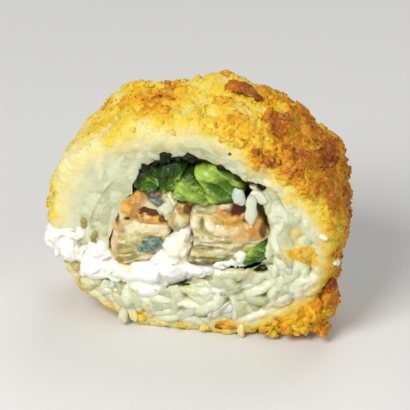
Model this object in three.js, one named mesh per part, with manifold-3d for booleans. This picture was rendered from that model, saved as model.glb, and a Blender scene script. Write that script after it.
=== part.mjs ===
// One slice of an eel tempura roll, standing on its crumbed side.
// A thick ring of rice, crumbed and fried on the outside, holds a nori sheet, and inside the
// nori lie julienned cucumber, strips of glazed eel and soft cheese. The cheese has squeezed
// out through the ring's open seam on the left, as far as the crust.
// Millimetres. X runs across the cut faces, Y along the roll, Z up. The front cut face looks
// along -Y, and the origin is the middle of the flat spot that the slice rests on.

import * as THREE from "three";
import { mergeVertices } from "three/addons/utils/BufferGeometryUtils.js";
import Module from "manifold-3d";

const wasm = await Module();
wasm.setup();

// Driving dimensions
const THICKNESS = 19;
const HALF = THICKNESS / 2;
const ROLL = { halfWidth: 26.1, halfHeight: 21.3, centreX: 0.2, centreZ: 20.8 };
// How the roll's outline departs from an ellipse: waves round it, share of the radius, degrees.
const OUTLINE_LOBES = [
  { waves: 1, share: 0.035, at: -85 },
  { waves: 2, share: 0.019, at: 113 },
  { waves: 3, share: 0.019, at: -119 },
  { waves: 4, share: 0.014, at: -153 },
];
const RIM_ROUND = 2.6;
const FACE_BULGE = 0.5;
const NORI = { thickness: 0.5, overhang: 0.35 };
const GAP = 0.3;

// The hollow inside the nori, as x, z points going round from the right, anticlockwise.
const HOLLOW = [
  [14.7, 20.6],
  [13.4, 26.6],
  [9.2, 31.4],
  [3.2, 33.9],
  [-4.0, 33.6],
  [-9.4, 30.0],
  [-12.6, 24.8],
  [-14.7, 18.0],
  [-14.0, 11.4],
  [-9.6, 7.0],
  [-3.4, 8.2],
  [4.4, 12.0],
  [12.4, 14.6],
];

// Thicker patches of fried batter: degrees round the roll, place along it, reach, height.
const BATTER_LUMPS = [
  { around: -39, along: 2.5, reach: 5.5, height: 2.8 },
  { around: 58, along: 1.0, reach: 5.0, height: 1.3 },
  { around: 84, along: 4.5, reach: 4.5, height: 1.1 },
  { around: 112, along: -1.5, reach: 6.0, height: 0.9 },
  { around: 131, along: 5.0, reach: 5.0, height: 1.4 },
  { around: 158, along: -3.0, reach: 5.0, height: 0.7 },
  { around: 22, along: 5.5, reach: 5.5, height: 1.0 },
  { around: 4, along: -4.0, reach: 4.0, height: 0.8 },
  { around: 206, along: 4.0, reach: 4.5, height: 0.9 },
  { around: 228, along: -2.0, reach: 4.0, height: 0.8 },
];
const CRAG = { size: 2.6, height: 1.0 };
const DENT = { size: 7.5, height: 0.75 };
const CRUMB_RELIEF = 0.7;

const RING_STEPS = 84;
const CRUMBS = { count: 28, smallest: 2.6, largest: 4.0 };
const GRAIN = { length: 6.2, width: 2.6, height: 2.0, spacing: 4.3, perFace: 29 };

// Rice grains that lie on a filling: its name, the grain's middle, and its lean in degrees.
const STRAY_GRAINS = [
  { on: "eel_strip_2", x: 10.6, y: -10.9, z: 26.0, lean: 4, length: 6.0 },
  { on: "eel_strip_3", x: -3.1, y: -10.1, z: 25.2, lean: 12, length: 5.2 },
  { on: "cucumber_stick_4", x: 8.9, y: -9.9, z: 29.0, lean: -50, length: 3.4 },
];

// Fillings: outlines on the cut face as x, z points going round anticlockwise, and how far
// their cut ends stand out of the two faces.
const CUCUMBERS = [
  {
    outline: [[-9.7, 28.0], [-7.2, 27.1], [-5.5, 28.0], [-5.5, 31.2], [-6.8, 31.9], [-9.0, 30.3]],
    front: -0.1,
    back: 0.4,
  },
  {
    outline: [[-5.3, 27.9], [-3.3, 27.5], [-1.9, 29.4], [-0.9, 32.3], [-2.6, 33.3], [-5.3, 31.9]],
    front: 0.5,
    back: -0.3,
  },
  {
    outline: [[-2.5, 27.1], [0.8, 26.5], [3.8, 26.8], [2.3, 29.4], [0.6, 31.9], [-1.2, 30.4]],
    front: 0.9,
    back: 0.6,
  },
  {
    outline: [[4.2, 26.6], [6.6, 26.5], [9.4, 28.2], [8.9, 30.9], [5.0, 33.2], [1.3, 32.6], [2.4, 29.8]],
    front: 0.3,
    back: 0.8,
  },
  {
    outline: [[10.0, 15.2], [12.2, 15.6], [14.3, 17.2], [13.7, 19.3], [11.6, 18.6]],
    front: 0.2,
    back: 0.5,
  },
];
const EELS = [
  {
    outline: [
      [-14.0, 14.8], [-12.2, 12.3], [-7.0, 14.1], [-4.6, 16.8], [-3.8, 20.0], [-4.6, 23.2],
      [-7.0, 25.2], [-9.6, 26.4], [-12.0, 24.2], [-13.4, 19.6],
    ],
    front: 1.3,
    back: 0.7,
  },
  {
    outline: [
      [0.0, 14.2], [4.6, 13.7], [8.6, 15.2], [11.6, 18.4], [14.0, 21.2], [11.6, 25.0],
      [9.0, 26.4], [5.6, 26.1], [2.0, 25.7], [0.2, 23.8], [1.0, 18.8],
    ],
    front: 1.1,
    back: 1.0,
  },
  {
    outline: [
      [-7.6, 26.7], [-6.0, 25.2], [-4.2, 23.6], [-3.2, 20.4], [-1.2, 19.9], [0.0, 22.4],
      [0.1, 26.0], [-2.6, 26.9], [-5.0, 27.4],
    ],
    front: 0.4,
    back: 0.5,
  },
];
const INNER_SWELL = 0.7;

// Soft cheese: a bed that runs in from the seam and under the eel, and a lump pressed up
// between the strips. Each is a path of x, z points with the half width at each.
const CHEESE_BED = [
  [-25.4, 14.4, 1.8],
  [-24.2, 14.4, 3.0],
  [-21.0, 14.2, 3.7],
  [-16.5, 12.9, 3.6],
  [-12.5, 11.4, 4.2],
  [-7.5, 10.8, 4.8],
  [-2.5, 12.0, 4.2],
  [3.5, 13.6, 3.0],
  [9.5, 16.4, 2.6],
  [13.2, 18.2, 1.8],
];
const CHEESE_LUMP = [
  [-4.6, 11.8, 2.4],
  [-2.8, 14.8, 2.7],
  [-1.4, 17.6, 2.5],
  [-1.0, 20.2, 1.6],
];
const CHEESE_OVERHANG = 0.8;
const SEAM = { left: -32, right: -11.5, low: 8.0, high: 20.0 };

const FRIED_RICE_COLOUR = 0xe4bd6a;
const NORI_COLOUR = 0x2c3220;
const CHEESE_COLOUR = 0xf8f9ea;
const CUCUMBER_COLOUR = 0x6f9a36;
const EEL_COLOUR = 0xcb9a5c;

const radians = THREE.MathUtils.degToRad;

// A repeatable number from 0 to 1 for three whole numbers.
function lattice(i, j, k) {
  const s = Math.sin(i * 127.1 + j * 311.7 + k * 74.7) * 43758.5453;
  return s - Math.floor(s);
}

// Smooth noise from -1 to 1: the lattice's numbers, blended between its points.
function noise(x, y, z) {
  const base = [Math.floor(x), Math.floor(y), Math.floor(z)];
  const [u, v, w] = [x - base[0], y - base[1], z - base[2]].map((t) => t * t * (3 - 2 * t));
  let sum = 0;
  for (let corner = 0; corner < 8; corner++) {
    const [a, b, c] = [corner & 1, (corner >> 1) & 1, corner >> 2];
    const weight = (a ? u : 1 - u) * (b ? v : 1 - v) * (c ? w : 1 - w);
    sum += weight * lattice(base[0] + a, base[1] + b, base[2] + c);
  }
  return 2 * sum - 1;
}

// A seeded draw of numbers from 0 to 1.
function draws(seed) {
  let count = 0;
  return () => lattice(seed, ++count, seed * 3 + count);
}

// Outline radius of the roll at an angle: an ellipse with a few shallow lobes.
function outlineRadius(angle) {
  const { halfWidth: a, halfHeight: b } = ROLL;
  const ellipse = (a * b) / Math.hypot(b * Math.cos(angle), a * Math.sin(angle));
  const lobes = OUTLINE_LOBES.reduce(
    (sum, l) => sum + l.share * Math.cos(l.waves * angle - radians(l.at)),
    1,
  );
  return ellipse * lobes;
}

function smoothLoop(points, count) {
  const curve = new THREE.CatmullRomCurve3(
    points.map(([x, z]) => new THREE.Vector3(x, 0, z)),
    true,
  );
  return Array.from({ length: count }, (_, i) => {
    const p = curve.getPoint(i / count);
    return new THREE.Vector2(p.x, p.z);
  });
}

// Radius of the hollow at an angle from the roll's centre, read off its smooth loop.
const hollowRays = smoothLoop(HOLLOW, 360).map((p) => {
  const [x, z] = [p.x - ROLL.centreX, p.y - ROLL.centreZ];
  return { angle: Math.atan2(z, x), radius: Math.hypot(x, z) };
});
hollowRays.sort((p, q) => p.angle - q.angle);
function hollowRadius(angle) {
  const turn = Math.atan2(Math.sin(angle), Math.cos(angle));
  const next = hollowRays.findIndex((r) => r.angle > turn);
  const b = hollowRays[next < 0 ? 0 : next];
  const a = hollowRays.at(next < 0 ? -1 : next - 1);
  const span = (b.angle - a.angle + 2 * Math.PI) % (2 * Math.PI);
  const share = ((turn - a.angle + 2 * Math.PI) % (2 * Math.PI)) / span;
  return a.radius + (b.radius - a.radius) * share;
}

function polar(angle, radius, y) {
  return new THREE.Vector3(
    ROLL.centreX + radius * Math.cos(angle),
    y,
    ROLL.centreZ + radius * Math.sin(angle),
  );
}

// How far the crust stands out at an angle and a place along the roll.
function crustRelief(angle, y) {
  const radius = outlineRadius(angle);
  const p = polar(angle, radius, y);
  const lumps = BATTER_LUMPS.reduce((sum, l) => {
    const turn = angle - radians(l.around);
    const arc = radius * Math.atan2(Math.sin(turn), Math.cos(turn));
    return sum + l.height * Math.exp(-(arc ** 2 + (y - l.along) ** 2) / l.reach ** 2);
  }, 0);
  const dents = DENT.height * noise(p.x / DENT.size + 5, y / DENT.size, p.z / DENT.size);
  const crags = CRAG.height * noise(p.x / CRAG.size, y / CRAG.size, p.z / CRAG.size);
  const crumbs = lattice(Math.round(p.x * 3), Math.round(y * 3), Math.round(p.z * 3));
  return lumps + dents + crags + CRUMB_RELIEF * (2 * crumbs - 1);
}

// Six times the volume that a mesh's triangles close in, negative when they face inwards.
function signedVolume(positions, index) {
  const corner = (i) => new THREE.Vector3().fromBufferAttribute(positions, index.getX(i));
  let sum = 0;
  for (let i = 0; i < index.count; i += 3) {
    sum += corner(i).dot(corner(i + 1).cross(corner(i + 2)));
  }
  return sum;
}

// A closed mesh as a solid that can be joined and cut, turned to face outwards.
function solidOf(geometry) {
  const bare = geometry.clone();
  bare.deleteAttribute("normal");
  bare.deleteAttribute("uv");
  const merged = mergeVertices(bare, 1e-4);
  const triVerts = new Uint32Array(merged.index.array);
  if (signedVolume(merged.attributes.position, merged.index) < 0) triVerts.reverse();
  return new wasm.Manifold(
    new wasm.Mesh({
      numProp: 3,
      vertProperties: new Float32Array(merged.attributes.position.array),
      triVerts,
    }),
  );
}

// The largest body of a solid, with sealed hollows filled and loose scraps dropped.
function mainBody(solid) {
  const bodies = solid.decompose().filter((b) => b.volume() > 0);
  return bodies.reduce((best, b) => (b.volume() > best.volume() ? b : best));
}

function geometryOf(solid) {
  const mesh = solid.getMesh();
  const positions = new Float32Array(mesh.numVert * 3);
  for (let i = 0; i < mesh.numVert; i++) {
    positions.set(mesh.vertProperties.subarray(i * mesh.numProp, i * mesh.numProp + 3), i * 3);
  }
  const geometry = new THREE.BufferGeometry();
  geometry.setAttribute("position", new THREE.BufferAttribute(positions, 3));
  geometry.setIndex(new THREE.BufferAttribute(mesh.triVerts, 1));
  geometry.computeVertexNormals();
  return geometry;
}

// A surface from rows of points. Each row closes on itself. The rows close on each other,
// or the first and last rows are capped by a middle point.
function rowsGeometry(rows, caps) {
  const across = rows[0].length;
  const points = rows.flat();
  const index = [];
  const last = caps ? rows.length - 1 : rows.length;
  for (let i = 0; i < last; i++) {
    for (let j = 0; j < across; j++) {
      const a = i * across + j;
      const b = i * across + ((j + 1) % across);
      const c = ((i + 1) % rows.length) * across + j;
      const d = ((i + 1) % rows.length) * across + ((j + 1) % across);
      index.push(a, b, d, a, d, c);
    }
  }
  if (caps) {
    const end = (rows.length - 1) * across;
    points.push(caps[0], caps[1]);
    for (let j = 0; j < across; j++) {
      index.push(points.length - 2, (j + 1) % across, j);
      index.push(points.length - 1, end + j, end + ((j + 1) % across));
    }
  }
  const geometry = new THREE.BufferGeometry().setFromPoints(points);
  geometry.setIndex(index);
  return geometry;
}

// The section of the rice ring at one angle: over the crust from back to front, in across the
// front face, back along the hollow and out across the back face.
function ringSection(angle) {
  const outer = outlineRadius(angle);
  const inner = hollowRadius(angle) + NORI.thickness + GAP;
  const straight = HALF - RIM_ROUND;
  const section = [];
  const crust = (y, inset, share) =>
    section.push(polar(angle, outer - inset + share * crustRelief(angle, y), y));
  const rim = (side, degrees) => {
    const turn = radians(degrees);
    const y = side * (straight + RIM_ROUND * Math.sin(turn));
    crust(y, RIM_ROUND * (1 - Math.cos(turn)), Math.cos(turn));
  };
  const face = (side, share) => {
    const radius = outer - RIM_ROUND + (inner - outer + RIM_ROUND) * share;
    const p = polar(angle, radius, 0);
    const bulge = FACE_BULGE * Math.sin(Math.PI * share) + 0.35 * noise(p.x / 3, side, p.z / 3);
    p.y = side * (HALF + bulge * Math.sin(Math.PI * Math.min(1, share + 0.1)));
    section.push(p);
  };
  const alongSteps = 8;
  [75, 40].forEach((d) => rim(1, d));
  for (let i = 0; i <= alongSteps; i++) crust(straight * (1 - (2 * i) / alongSteps), 0, 1);
  [40, 75].forEach((d) => rim(-1, d));
  [0.08, 0.4, 0.75].forEach((s) => face(-1, s));
  [-HALF, HALF].forEach((y) => section.push(polar(angle, inner, y)));
  [0.75, 0.4, 0.08].forEach((s) => face(1, s));
  return section;
}

// A crumb: an icosahedron with its corners pulled about, turned at random.
function crumbGeometry(place, size, draw) {
  const ball = new THREE.IcosahedronGeometry(size / 2, 0);
  ball.deleteAttribute("uv");
  ball.deleteAttribute("normal");
  const crumb = mergeVertices(ball);
  const p = crumb.attributes.position;
  for (let i = 0; i < p.count; i++) {
    const pull = 0.75 + 0.5 * draw();
    p.setXYZ(i, p.getX(i) * pull, p.getY(i) * pull, p.getZ(i) * pull);
  }
  crumb.scale(1, 0.8, 0.6);
  crumb.rotateX(6 * draw()).rotateZ(6 * draw());
  return crumb.translate(place.x, place.y, place.z);
}

// Crumbs half sunk in the crust, spread round it by the golden angle.
function crustCrumbs() {
  const draw = draws(7);
  return Array.from({ length: CRUMBS.count }, (_, i) => {
    const angle = i * radians(137.5);
    const y = (HALF - RIM_ROUND * 0.6) * (2 * ((i * 0.414) % 1) - 1);
    const size = CRUMBS.smallest + (CRUMBS.largest - CRUMBS.smallest) * draw();
    const radius = outlineRadius(angle) + crustRelief(angle, y) - 0.1 * size;
    return solidOf(crumbGeometry(polar(angle, radius, y), size, draw));
  });
}

function grainGeometry(length) {
  const grain = new THREE.SphereGeometry(0.5, 5, 4).rotateX(Math.PI / 2);
  return grain.scale(GRAIN.width, GRAIN.height, length);
}

// Rice grains half sunk in both cut faces, lying mostly round the ring, apart from each other.
function faceGrains() {
  const grains = [];
  for (const side of [-1, 1]) {
    const draw = draws(21 + side);
    const placed = [];
    for (let tries = 0; placed.length < GRAIN.perFace && tries < 900; tries++) {
      const angle = 2 * Math.PI * draw();
      const inner = hollowRadius(angle) + NORI.thickness + GAP + GRAIN.width / 2;
      const outer = outlineRadius(angle) - RIM_ROUND - GRAIN.width / 2;
      const centre = polar(angle, inner + (outer - inner) * draw(), side * (HALF + 0.35));
      const lean = 0.9 * (draw() - 0.5);
      if (placed.some((p) => p.distanceTo(centre) < GRAIN.spacing)) continue;
      placed.push(centre);
      const grain = grainGeometry(GRAIN.length);
      grain.rotateX(0.25 * (draw() - 0.5)).rotateY(lean - angle);
      grains.push(solidOf(grain.translate(centre.x, centre.y, centre.z)));
    }
  }
  return grains;
}

// A filling that runs through the slice: its outline carried along Y with a slow waver. It
// swells between the faces, where it is pressed against its neighbours, and its cut ends are
// slightly domed.
function fillingSolid({ outline, front, back }, steps, grow = 0) {
  const loop = smoothLoop(outline, steps);
  const centre = loop.reduce((s, p) => s.add(p), new THREE.Vector2()).divideScalar(steps);
  const reach = grow ? 6 : 0;
  const row = (y, scale) =>
    loop.map((p, i) => {
      const along = loop[(i + 1) % steps].clone().sub(loop[(i + steps - 1) % steps]);
      const outward = new THREE.Vector2(along.y, -along.x).normalize();
      const swell = INNER_SWELL * Math.max(0, 1 - (y / HALF) ** 2);
      const waver = 0.22 * noise(p.x / 4, y / 6, p.y / 4);
      const q = p.clone().sub(centre).multiplyScalar(scale).add(centre);
      q.addScaledVector(outward, (grow + waver + swell) * scale);
      const dent = scale < 1 ? 0.5 * noise(p.x / 1.7, y, p.y / 1.7) : 0;
      return new THREE.Vector3(q.x, y + dent * Math.sign(y), q.y);
    });
  const [yFront, yBack] = [-HALF - front - reach, HALF + back + reach];
  const rows = [row(yFront, 0.6), row(yFront + 0.4, 0.92)];
  for (const y of [-HALF + 1.2, 0, HALF - 1.2]) rows.push(row(y, 1));
  rows.push(row(yBack - 0.4, 0.92), row(yBack, 0.6));
  const tips = [yFront - 0.1, yBack + 0.1].map((y) => new THREE.Vector3(centre.x, y, centre.y));
  return solidOf(rowsGeometry(rows, tips));
}

// A soft slab: a rounded oblong carried along a path across the cut face, as deep as the
// slice and a little proud of it.
function cheeseSweep(path, grow = 0) {
  const curve = new THREE.CatmullRomCurve3(path.map(([x, z, w]) => new THREE.Vector3(x, w, z)));
  const stations = 2 * (path.length - 1);
  const depth = HALF + CHEESE_OVERHANG + (grow ? 6 : 0);
  const corners = 14;
  const rows = [];
  for (let i = 0; i <= stations; i++) {
    const { x, y: halfWidth, z } = curve.getPoint(i / stations);
    const tangent = curve.getTangent(i / stations);
    const across = new THREE.Vector2(-tangent.z, tangent.x).normalize();
    const row = [];
    for (let j = 0; j < corners; j++) {
      const turn = (2 * Math.PI * j) / corners;
      const swell = (v) => Math.sign(v) * Math.abs(v) ** 0.55;
      const w = (halfWidth + grow) * swell(Math.cos(turn));
      const lap = 1 + 0.05 * noise(x / 3 + w, 4 * Math.sin(turn), z / 3);
      const y = depth * lap * Math.min(1, 0.8 + 0.1 * i) * swell(Math.sin(turn));
      row.push(new THREE.Vector3(x + across.x * w, y, z + across.y * w));
    }
    rows.push(row);
  }
  const end = (row) => row.reduce((s, p) => s.add(p), new THREE.Vector3()).divideScalar(corners);
  return solidOf(rowsGeometry(rows, [end(rows[0]), end(rows.at(-1))]));
}

// A prism through the slice whose outline is the hollow, larger or smaller by an amount.
function hollowPrism(grow, steps) {
  const ring = (y) =>
    Array.from({ length: steps }, (_, i) => {
      const angle = (-2 * Math.PI * i) / steps;
      return polar(angle, hollowRadius(angle) + grow, y);
    });
  const reach = THICKNESS;
  const tips = [-reach, reach].map((y) => new THREE.Vector3(ROLL.centreX, y, ROLL.centreZ));
  return solidOf(rowsGeometry([ring(-reach), ring(reach)], tips));
}

function block(left, right, low, high, depth) {
  const box = new THREE.BoxGeometry(right - left, depth, high - low);
  return solidOf(box.translate((left + right) / 2, 0, (low + high) / 2));
}

// The nori: a thin sheet round the hollow, with wavy cut edges.
function noriSolid() {
  const steps = 64;
  const rows = Array.from({ length: steps }, (_, i) => {
    const angle = (2 * Math.PI * i) / steps;
    const inner = hollowRadius(angle);
    const wave = (side) => side * (HALF + NORI.overhang + 0.35 * noise(i / 2.5, side * 3, 1));
    const outer = inner + NORI.thickness;
    return [
      polar(angle, outer, wave(1)),
      polar(angle, outer, 0),
      polar(angle, outer, wave(-1)),
      polar(angle, inner, wave(-1)),
      polar(angle, inner, 0),
      polar(angle, inner, wave(1)),
    ];
  });
  return solidOf(rowsGeometry(rows, null));
}

const cheeseBedGrown = cheeseSweep(CHEESE_BED, GAP);
const seamZone = block(SEAM.left, SEAM.right, SEAM.low, SEAM.high, 4 * THICKNESS);
const floorBlock = block(-60, 60, -30, 0, 4 * THICKNESS);
const seamChannel = cheeseBedGrown.intersect(seamZone);

function friedRice() {
  const sections = Array.from({ length: RING_STEPS }, (_, i) =>
    ringSection((2 * Math.PI * i) / RING_STEPS),
  );
  const ring = solidOf(rowsGeometry(sections, null));
  const joined = wasm.Manifold.union([ring, ...crustCrumbs(), ...faceGrains()]);
  const trimmed = joined
    .subtract(hollowPrism(NORI.thickness + 0.8 * GAP, RING_STEPS))
    .subtract(seamChannel)
    .subtract(floorBlock);
  return mainBody(trimmed);
}

const fillings = [
  ...EELS.map((shape, i) => ({ name: `eel_strip_${i + 1}`, shape, steps: 20, colour: EEL_COLOUR })),
  ...CUCUMBERS.map((shape, i) => ({
    name: `cucumber_stick_${i + 1}`,
    shape,
    steps: 12,
    colour: CUCUMBER_COLOUR,
  })),
];

const roll = new THREE.Group();
roll.name = "eel_tempura_roll_slice";

function addNode(name, solid, colour, roughness) {
  const material = new THREE.MeshStandardMaterial({ color: colour, roughness, metalness: 0 });
  const mesh = new THREE.Mesh(geometryOf(solid), material);
  mesh.name = name;
  roll.add(mesh);
}

addNode("fried_rice_ring", friedRice(), FRIED_RICE_COLOUR, 0.7);
addNode("nori_sheet", mainBody(noriSolid().subtract(seamChannel)), NORI_COLOUR, 0.5);

// Each filling is cut clear of those before it, and all of them stay inside the nori.
const room = hollowPrism(-GAP, 40);
let taken = null;
for (const { name, shape, steps, colour } of fillings) {
  let solid = fillingSolid(shape, steps).intersect(room);
  if (taken) solid = solid.subtract(taken);
  for (const stray of STRAY_GRAINS.filter((g) => g.on === name)) {
    const grain = grainGeometry(stray.length).rotateY(radians(stray.lean));
    solid = solid.add(solidOf(grain.translate(stray.x, stray.y, stray.z)));
  }
  addNode(name, mainBody(solid), colour, 0.45);
  const grown = fillingSolid(shape, steps, GAP);
  taken = taken ? taken.add(grown) : grown;
}

const cheese = cheeseSweep(CHEESE_BED).add(cheeseSweep(CHEESE_LUMP));
const cheeseRoom = room.add(cheeseSweep(CHEESE_BED).intersect(seamZone));
addNode("soft_cheese", mainBody(cheese.intersect(cheeseRoom).subtract(taken)), CHEESE_COLOUR, 0.35);

export default roll;
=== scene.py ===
"""Dressing for one slice of an eel tempura roll, standing on its crumbed side.

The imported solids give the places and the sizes. This script lays the surfaces that show over
them: rice with its single grains, a crust of fried crumbs, nori, cucumber, glazed eel and
soft cheese. Shapes are worked out in millimetres, in the frame of the solids: X runs across
the cut faces, Y along the roll and Z up, and the front cut face looks along -Y.
"""

from __future__ import annotations

import itertools
import logging
from collections.abc import Sequence
from dataclasses import dataclass, field
from enum import Enum

import bpy
import numpy as np
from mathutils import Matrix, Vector
from numpy.typing import NDArray

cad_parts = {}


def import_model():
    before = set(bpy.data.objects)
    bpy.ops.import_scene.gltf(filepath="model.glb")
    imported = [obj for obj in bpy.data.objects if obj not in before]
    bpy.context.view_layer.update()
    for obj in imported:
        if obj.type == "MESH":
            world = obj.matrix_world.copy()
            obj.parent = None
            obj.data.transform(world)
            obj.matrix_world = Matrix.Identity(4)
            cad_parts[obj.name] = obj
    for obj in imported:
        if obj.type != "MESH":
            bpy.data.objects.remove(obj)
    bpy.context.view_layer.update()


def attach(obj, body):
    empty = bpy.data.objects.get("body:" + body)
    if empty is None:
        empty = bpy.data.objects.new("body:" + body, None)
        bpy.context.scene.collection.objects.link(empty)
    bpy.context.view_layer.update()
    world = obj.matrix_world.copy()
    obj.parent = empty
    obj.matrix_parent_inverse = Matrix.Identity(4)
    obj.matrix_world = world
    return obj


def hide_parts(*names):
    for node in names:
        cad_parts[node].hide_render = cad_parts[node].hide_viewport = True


Array = NDArray[np.float64]
Colour = tuple[float, float, float]
Indices = NDArray[np.int64]
Masks = dict[str, Array]
Spot = tuple[float, ...]
Spots = tuple[Spot, ...]
Pairs = tuple[tuple[float, float], ...]
Stops = tuple[tuple[float, Colour], ...]
Socket = bpy.types.NodeSocket

MM = 0.001
FLOOR_GAP = 0.02
BODY = "root"
HASH_WAVES = (127.1, 311.7, 74.7)
HASH_SCALE = 43758.5453
LAYER_FADE = 0.55
LAYER_SHIFT = 9.7
log = logging.getLogger("roll_slice")


# Noise and cells


def lattice_value(i: Array, j: Array, k: Array) -> Array:
    """Gives each whole-number place a fixed number from 0 to 1: the fraction of a large sine.

    Args:
        i: First coordinates.
        j: Second coordinates.
        k: Third coordinates.

    Returns:
        Numbers from 0 to 1, one for each place.
    """
    a, b, c = HASH_WAVES
    wave = np.sin(i * a + j * b + k * c) * HASH_SCALE
    return wave - np.floor(wave)


def soft_noise(points: Array, size: float, shift: float = 0.0) -> Array:
    """Smooth noise: lattice values blended between the eight corners round each point.

    Args:
        points: Places in millimetres, with three numbers on the last axis.
        size: Spacing of the lattice in millimetres.
        shift: Chooses the pattern.

    Returns:
        Noise from -1 to 1.
    """
    at = points / size + np.array([shift, 0.0, 0.0])
    base = np.floor(at)
    share = at - base
    share = share * share * (3 - 2 * share)
    total = np.zeros(points.shape[:-1])
    for corner in itertools.product((0, 1), repeat=3):
        weight = np.prod(np.where(np.array(corner) == 1, share, 1 - share), axis=-1)
        spot = base + np.array(corner)
        total += weight * lattice_value(spot[..., 0], spot[..., 1], spot[..., 2])
    return 2 * total - 1


def rough_noise(points: Array, size: float, layers: int, shift: float = 0.0) -> Array:
    """Sum of soft noises, each half the size of the one before and a little over half as strong.

    Args:
        points: Places in millimetres.
        size: Size of the coarsest layer.
        layers: How many layers are summed.
        shift: Chooses the pattern.

    Returns:
        Noise of about -1 to 1.
    """
    total = np.zeros(points.shape[:-1])
    for layer in range(layers):
        total += LAYER_FADE**layer * soft_noise(points, size / 2**layer, shift + LAYER_SHIFT * layer)
    return total


@dataclass
class Cells:
    """Crumb-like cells round a set of points.

    Attributes:
        edge: From 0 on the seam between two cells, growing inwards.
        token: A fixed number from 0 to 1 for each cell.
        chip: A plane through 0 at each cell's middle, tilted its own way.
    """

    edge: Array
    token: Array
    chip: Array


def crumb_cells(points: Array, size: float, shift: float = 0.0) -> Cells:
    """Splits space into uneven cells, each the part nearest to one scattered middle.

    Args:
        points: Places in millimetres.
        size: Mean spacing of the middles.
        shift: Chooses the pattern.

    Returns:
        The cell values at each point.
    """
    at = points / size
    base = np.floor(at)
    nearest = np.full(points.shape[:-1], 9.0)
    second = nearest.copy()
    token = np.zeros_like(nearest)
    chip = np.zeros_like(nearest)
    for offset in itertools.product((-1, 0, 1), repeat=3):
        cell = base + np.array(offset)
        i, j, k = cell[..., 0], cell[..., 1], cell[..., 2]
        spread = np.stack([lattice_value(i + shift + 13.0 * n, j, k) for n in range(3)], axis=-1)
        away = at - cell - 0.08 - 0.84 * spread
        gap = np.linalg.norm(away, axis=-1)
        closer = gap < nearest
        tilt = np.sum(away * (2 * np.roll(spread, 1, axis=-1) - 1), axis=-1)
        chip = np.where(closer, tilt, chip)
        second = np.where(closer, nearest, np.minimum(second, gap))
        token = np.where(closer, lattice_value(i + shift + 71.0, j, k), token)
        nearest = np.minimum(nearest, gap)
    return Cells(second - nearest, token, chip)


def ease(low: float | Array, high: float | Array, value: Array) -> Array:
    """Smooth step from 0 at low to 1 at high."""
    share = np.clip((value - low) / (high - low), 0, 1)
    return share * share * (3 - 2 * share)


def closed_curve(points: Sequence[Sequence[float]], count: int) -> Array:
    """Samples a smooth closed loop through the points, as a Catmull-Rom spline.

    Args:
        points: The loop's points.
        count: How many samples.

    Returns:
        Samples of shape (count, dimensions).
    """
    knots = np.asarray(points, dtype=float)
    at = np.arange(count) / count * len(knots)
    index = at.astype(int)
    t = (at - index)[:, None]
    before, here, after, beyond = (knots[(index + s) % len(knots)] for s in (-1, 0, 1, 2))
    return 0.5 * (
        2 * here
        + (after - before) * t
        + (2 * before - 5 * here + 4 * after - beyond) * t**2
        + (3 * here - before - 3 * after + beyond) * t**3
    )


# Surfaces and meshes


@dataclass
class Surface:
    """Points, faces and shading masks of one mesh.

    Attributes:
        points: Places in millimetres, shape (n, 3).
        faces: Arrays of corner numbers, each array of faces with one corner count.
        masks: Numbers for each point that the materials read, by name.
    """

    points: Array
    faces: list[Indices]
    masks: Masks = field(default_factory=dict)

    def volume(self) -> float:
        """Sums the tetrahedra from the origin to each triangle.

        Returns:
            The volume, below zero if the faces point inwards.
        """
        total = 0.0
        for face in self.faces:
            corners = self.points[face]
            for n in range(1, face.shape[1] - 1):
                span = np.cross(corners[:, n], corners[:, n + 1])
                total += float(np.einsum("ij,ij->", corners[:, 0], span))
        return total / 6

    def facing_out(self) -> Surface:
        """Turns the faces round if they point inwards, and returns the surface."""
        self.faces = [face[:, ::-1] for face in self.faces] if self.volume() < 0 else self.faces
        return self

    def above(self, least: float) -> Surface:
        """Flattens what lies below a height, and returns the surface."""
        self.points[:, 2] = np.maximum(self.points[:, 2], least)
        return self

    def triangles(self) -> int:
        """Counts the surface's triangles."""
        return sum(len(face) * (face.shape[1] - 2) for face in self.faces)


def joined(surfaces: Sequence[Surface]) -> Surface:
    """Puts several surfaces into one, without merging points.

    Args:
        surfaces: Surfaces with the same masks.

    Returns:
        The whole.
    """
    starts = np.cumsum([0] + [len(s.points) for s in surfaces])
    faces = [face + start for s, start in zip(surfaces, starts) for face in s.faces]
    names = surfaces[0].masks
    masks = {name: np.concatenate([s.masks[name] for s in surfaces]) for name in names}
    return Surface(np.concatenate([s.points for s in surfaces]), faces, masks)


def grid_faces(rows: int, columns: int) -> Indices:
    """Quads of a grid of points whose rows follow each other and close on themselves.

    Args:
        rows: Number of rows of points.
        columns: Points in a row.

    Returns:
        Corner numbers of the quads, shape (n, 4).
    """
    row, column = np.meshgrid(np.arange(rows - 1), np.arange(columns), indexing="ij")
    here = row * columns + column
    right = row * columns + (column + 1) % columns
    return np.stack([here, right, right + columns, here + columns], axis=-1).reshape(-1, 4)


def capped_tube(rows: Array, masks: Masks | None = None) -> Surface:
    """A closed surface from rows of points that close on themselves, each end a fan.

    Args:
        rows: Points of shape (rows, columns, 3).
        masks: Numbers for the points, each of shape (rows, columns).

    Returns:
        The closed surface, facing outwards.
    """
    count, columns = rows.shape[:2]
    ends = np.stack([rows[0].mean(axis=0), rows[-1].mean(axis=0)])
    points = np.concatenate([rows.reshape(-1, 3), ends])
    around = np.arange(columns)
    after = (around + 1) % columns
    first = np.stack([np.full(columns, count * columns), after, around], axis=-1)
    start = (count - 1) * columns
    last = np.stack([np.full(columns, count * columns + 1), start + around, start + after], -1)
    flat = {
        name: np.concatenate([mask.ravel(), [mask[0].mean(), mask[-1].mean()]])
        for name, mask in (masks or {}).items()
    }
    return Surface(points, [grid_faces(count, columns), first, last], flat).facing_out()


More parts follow.
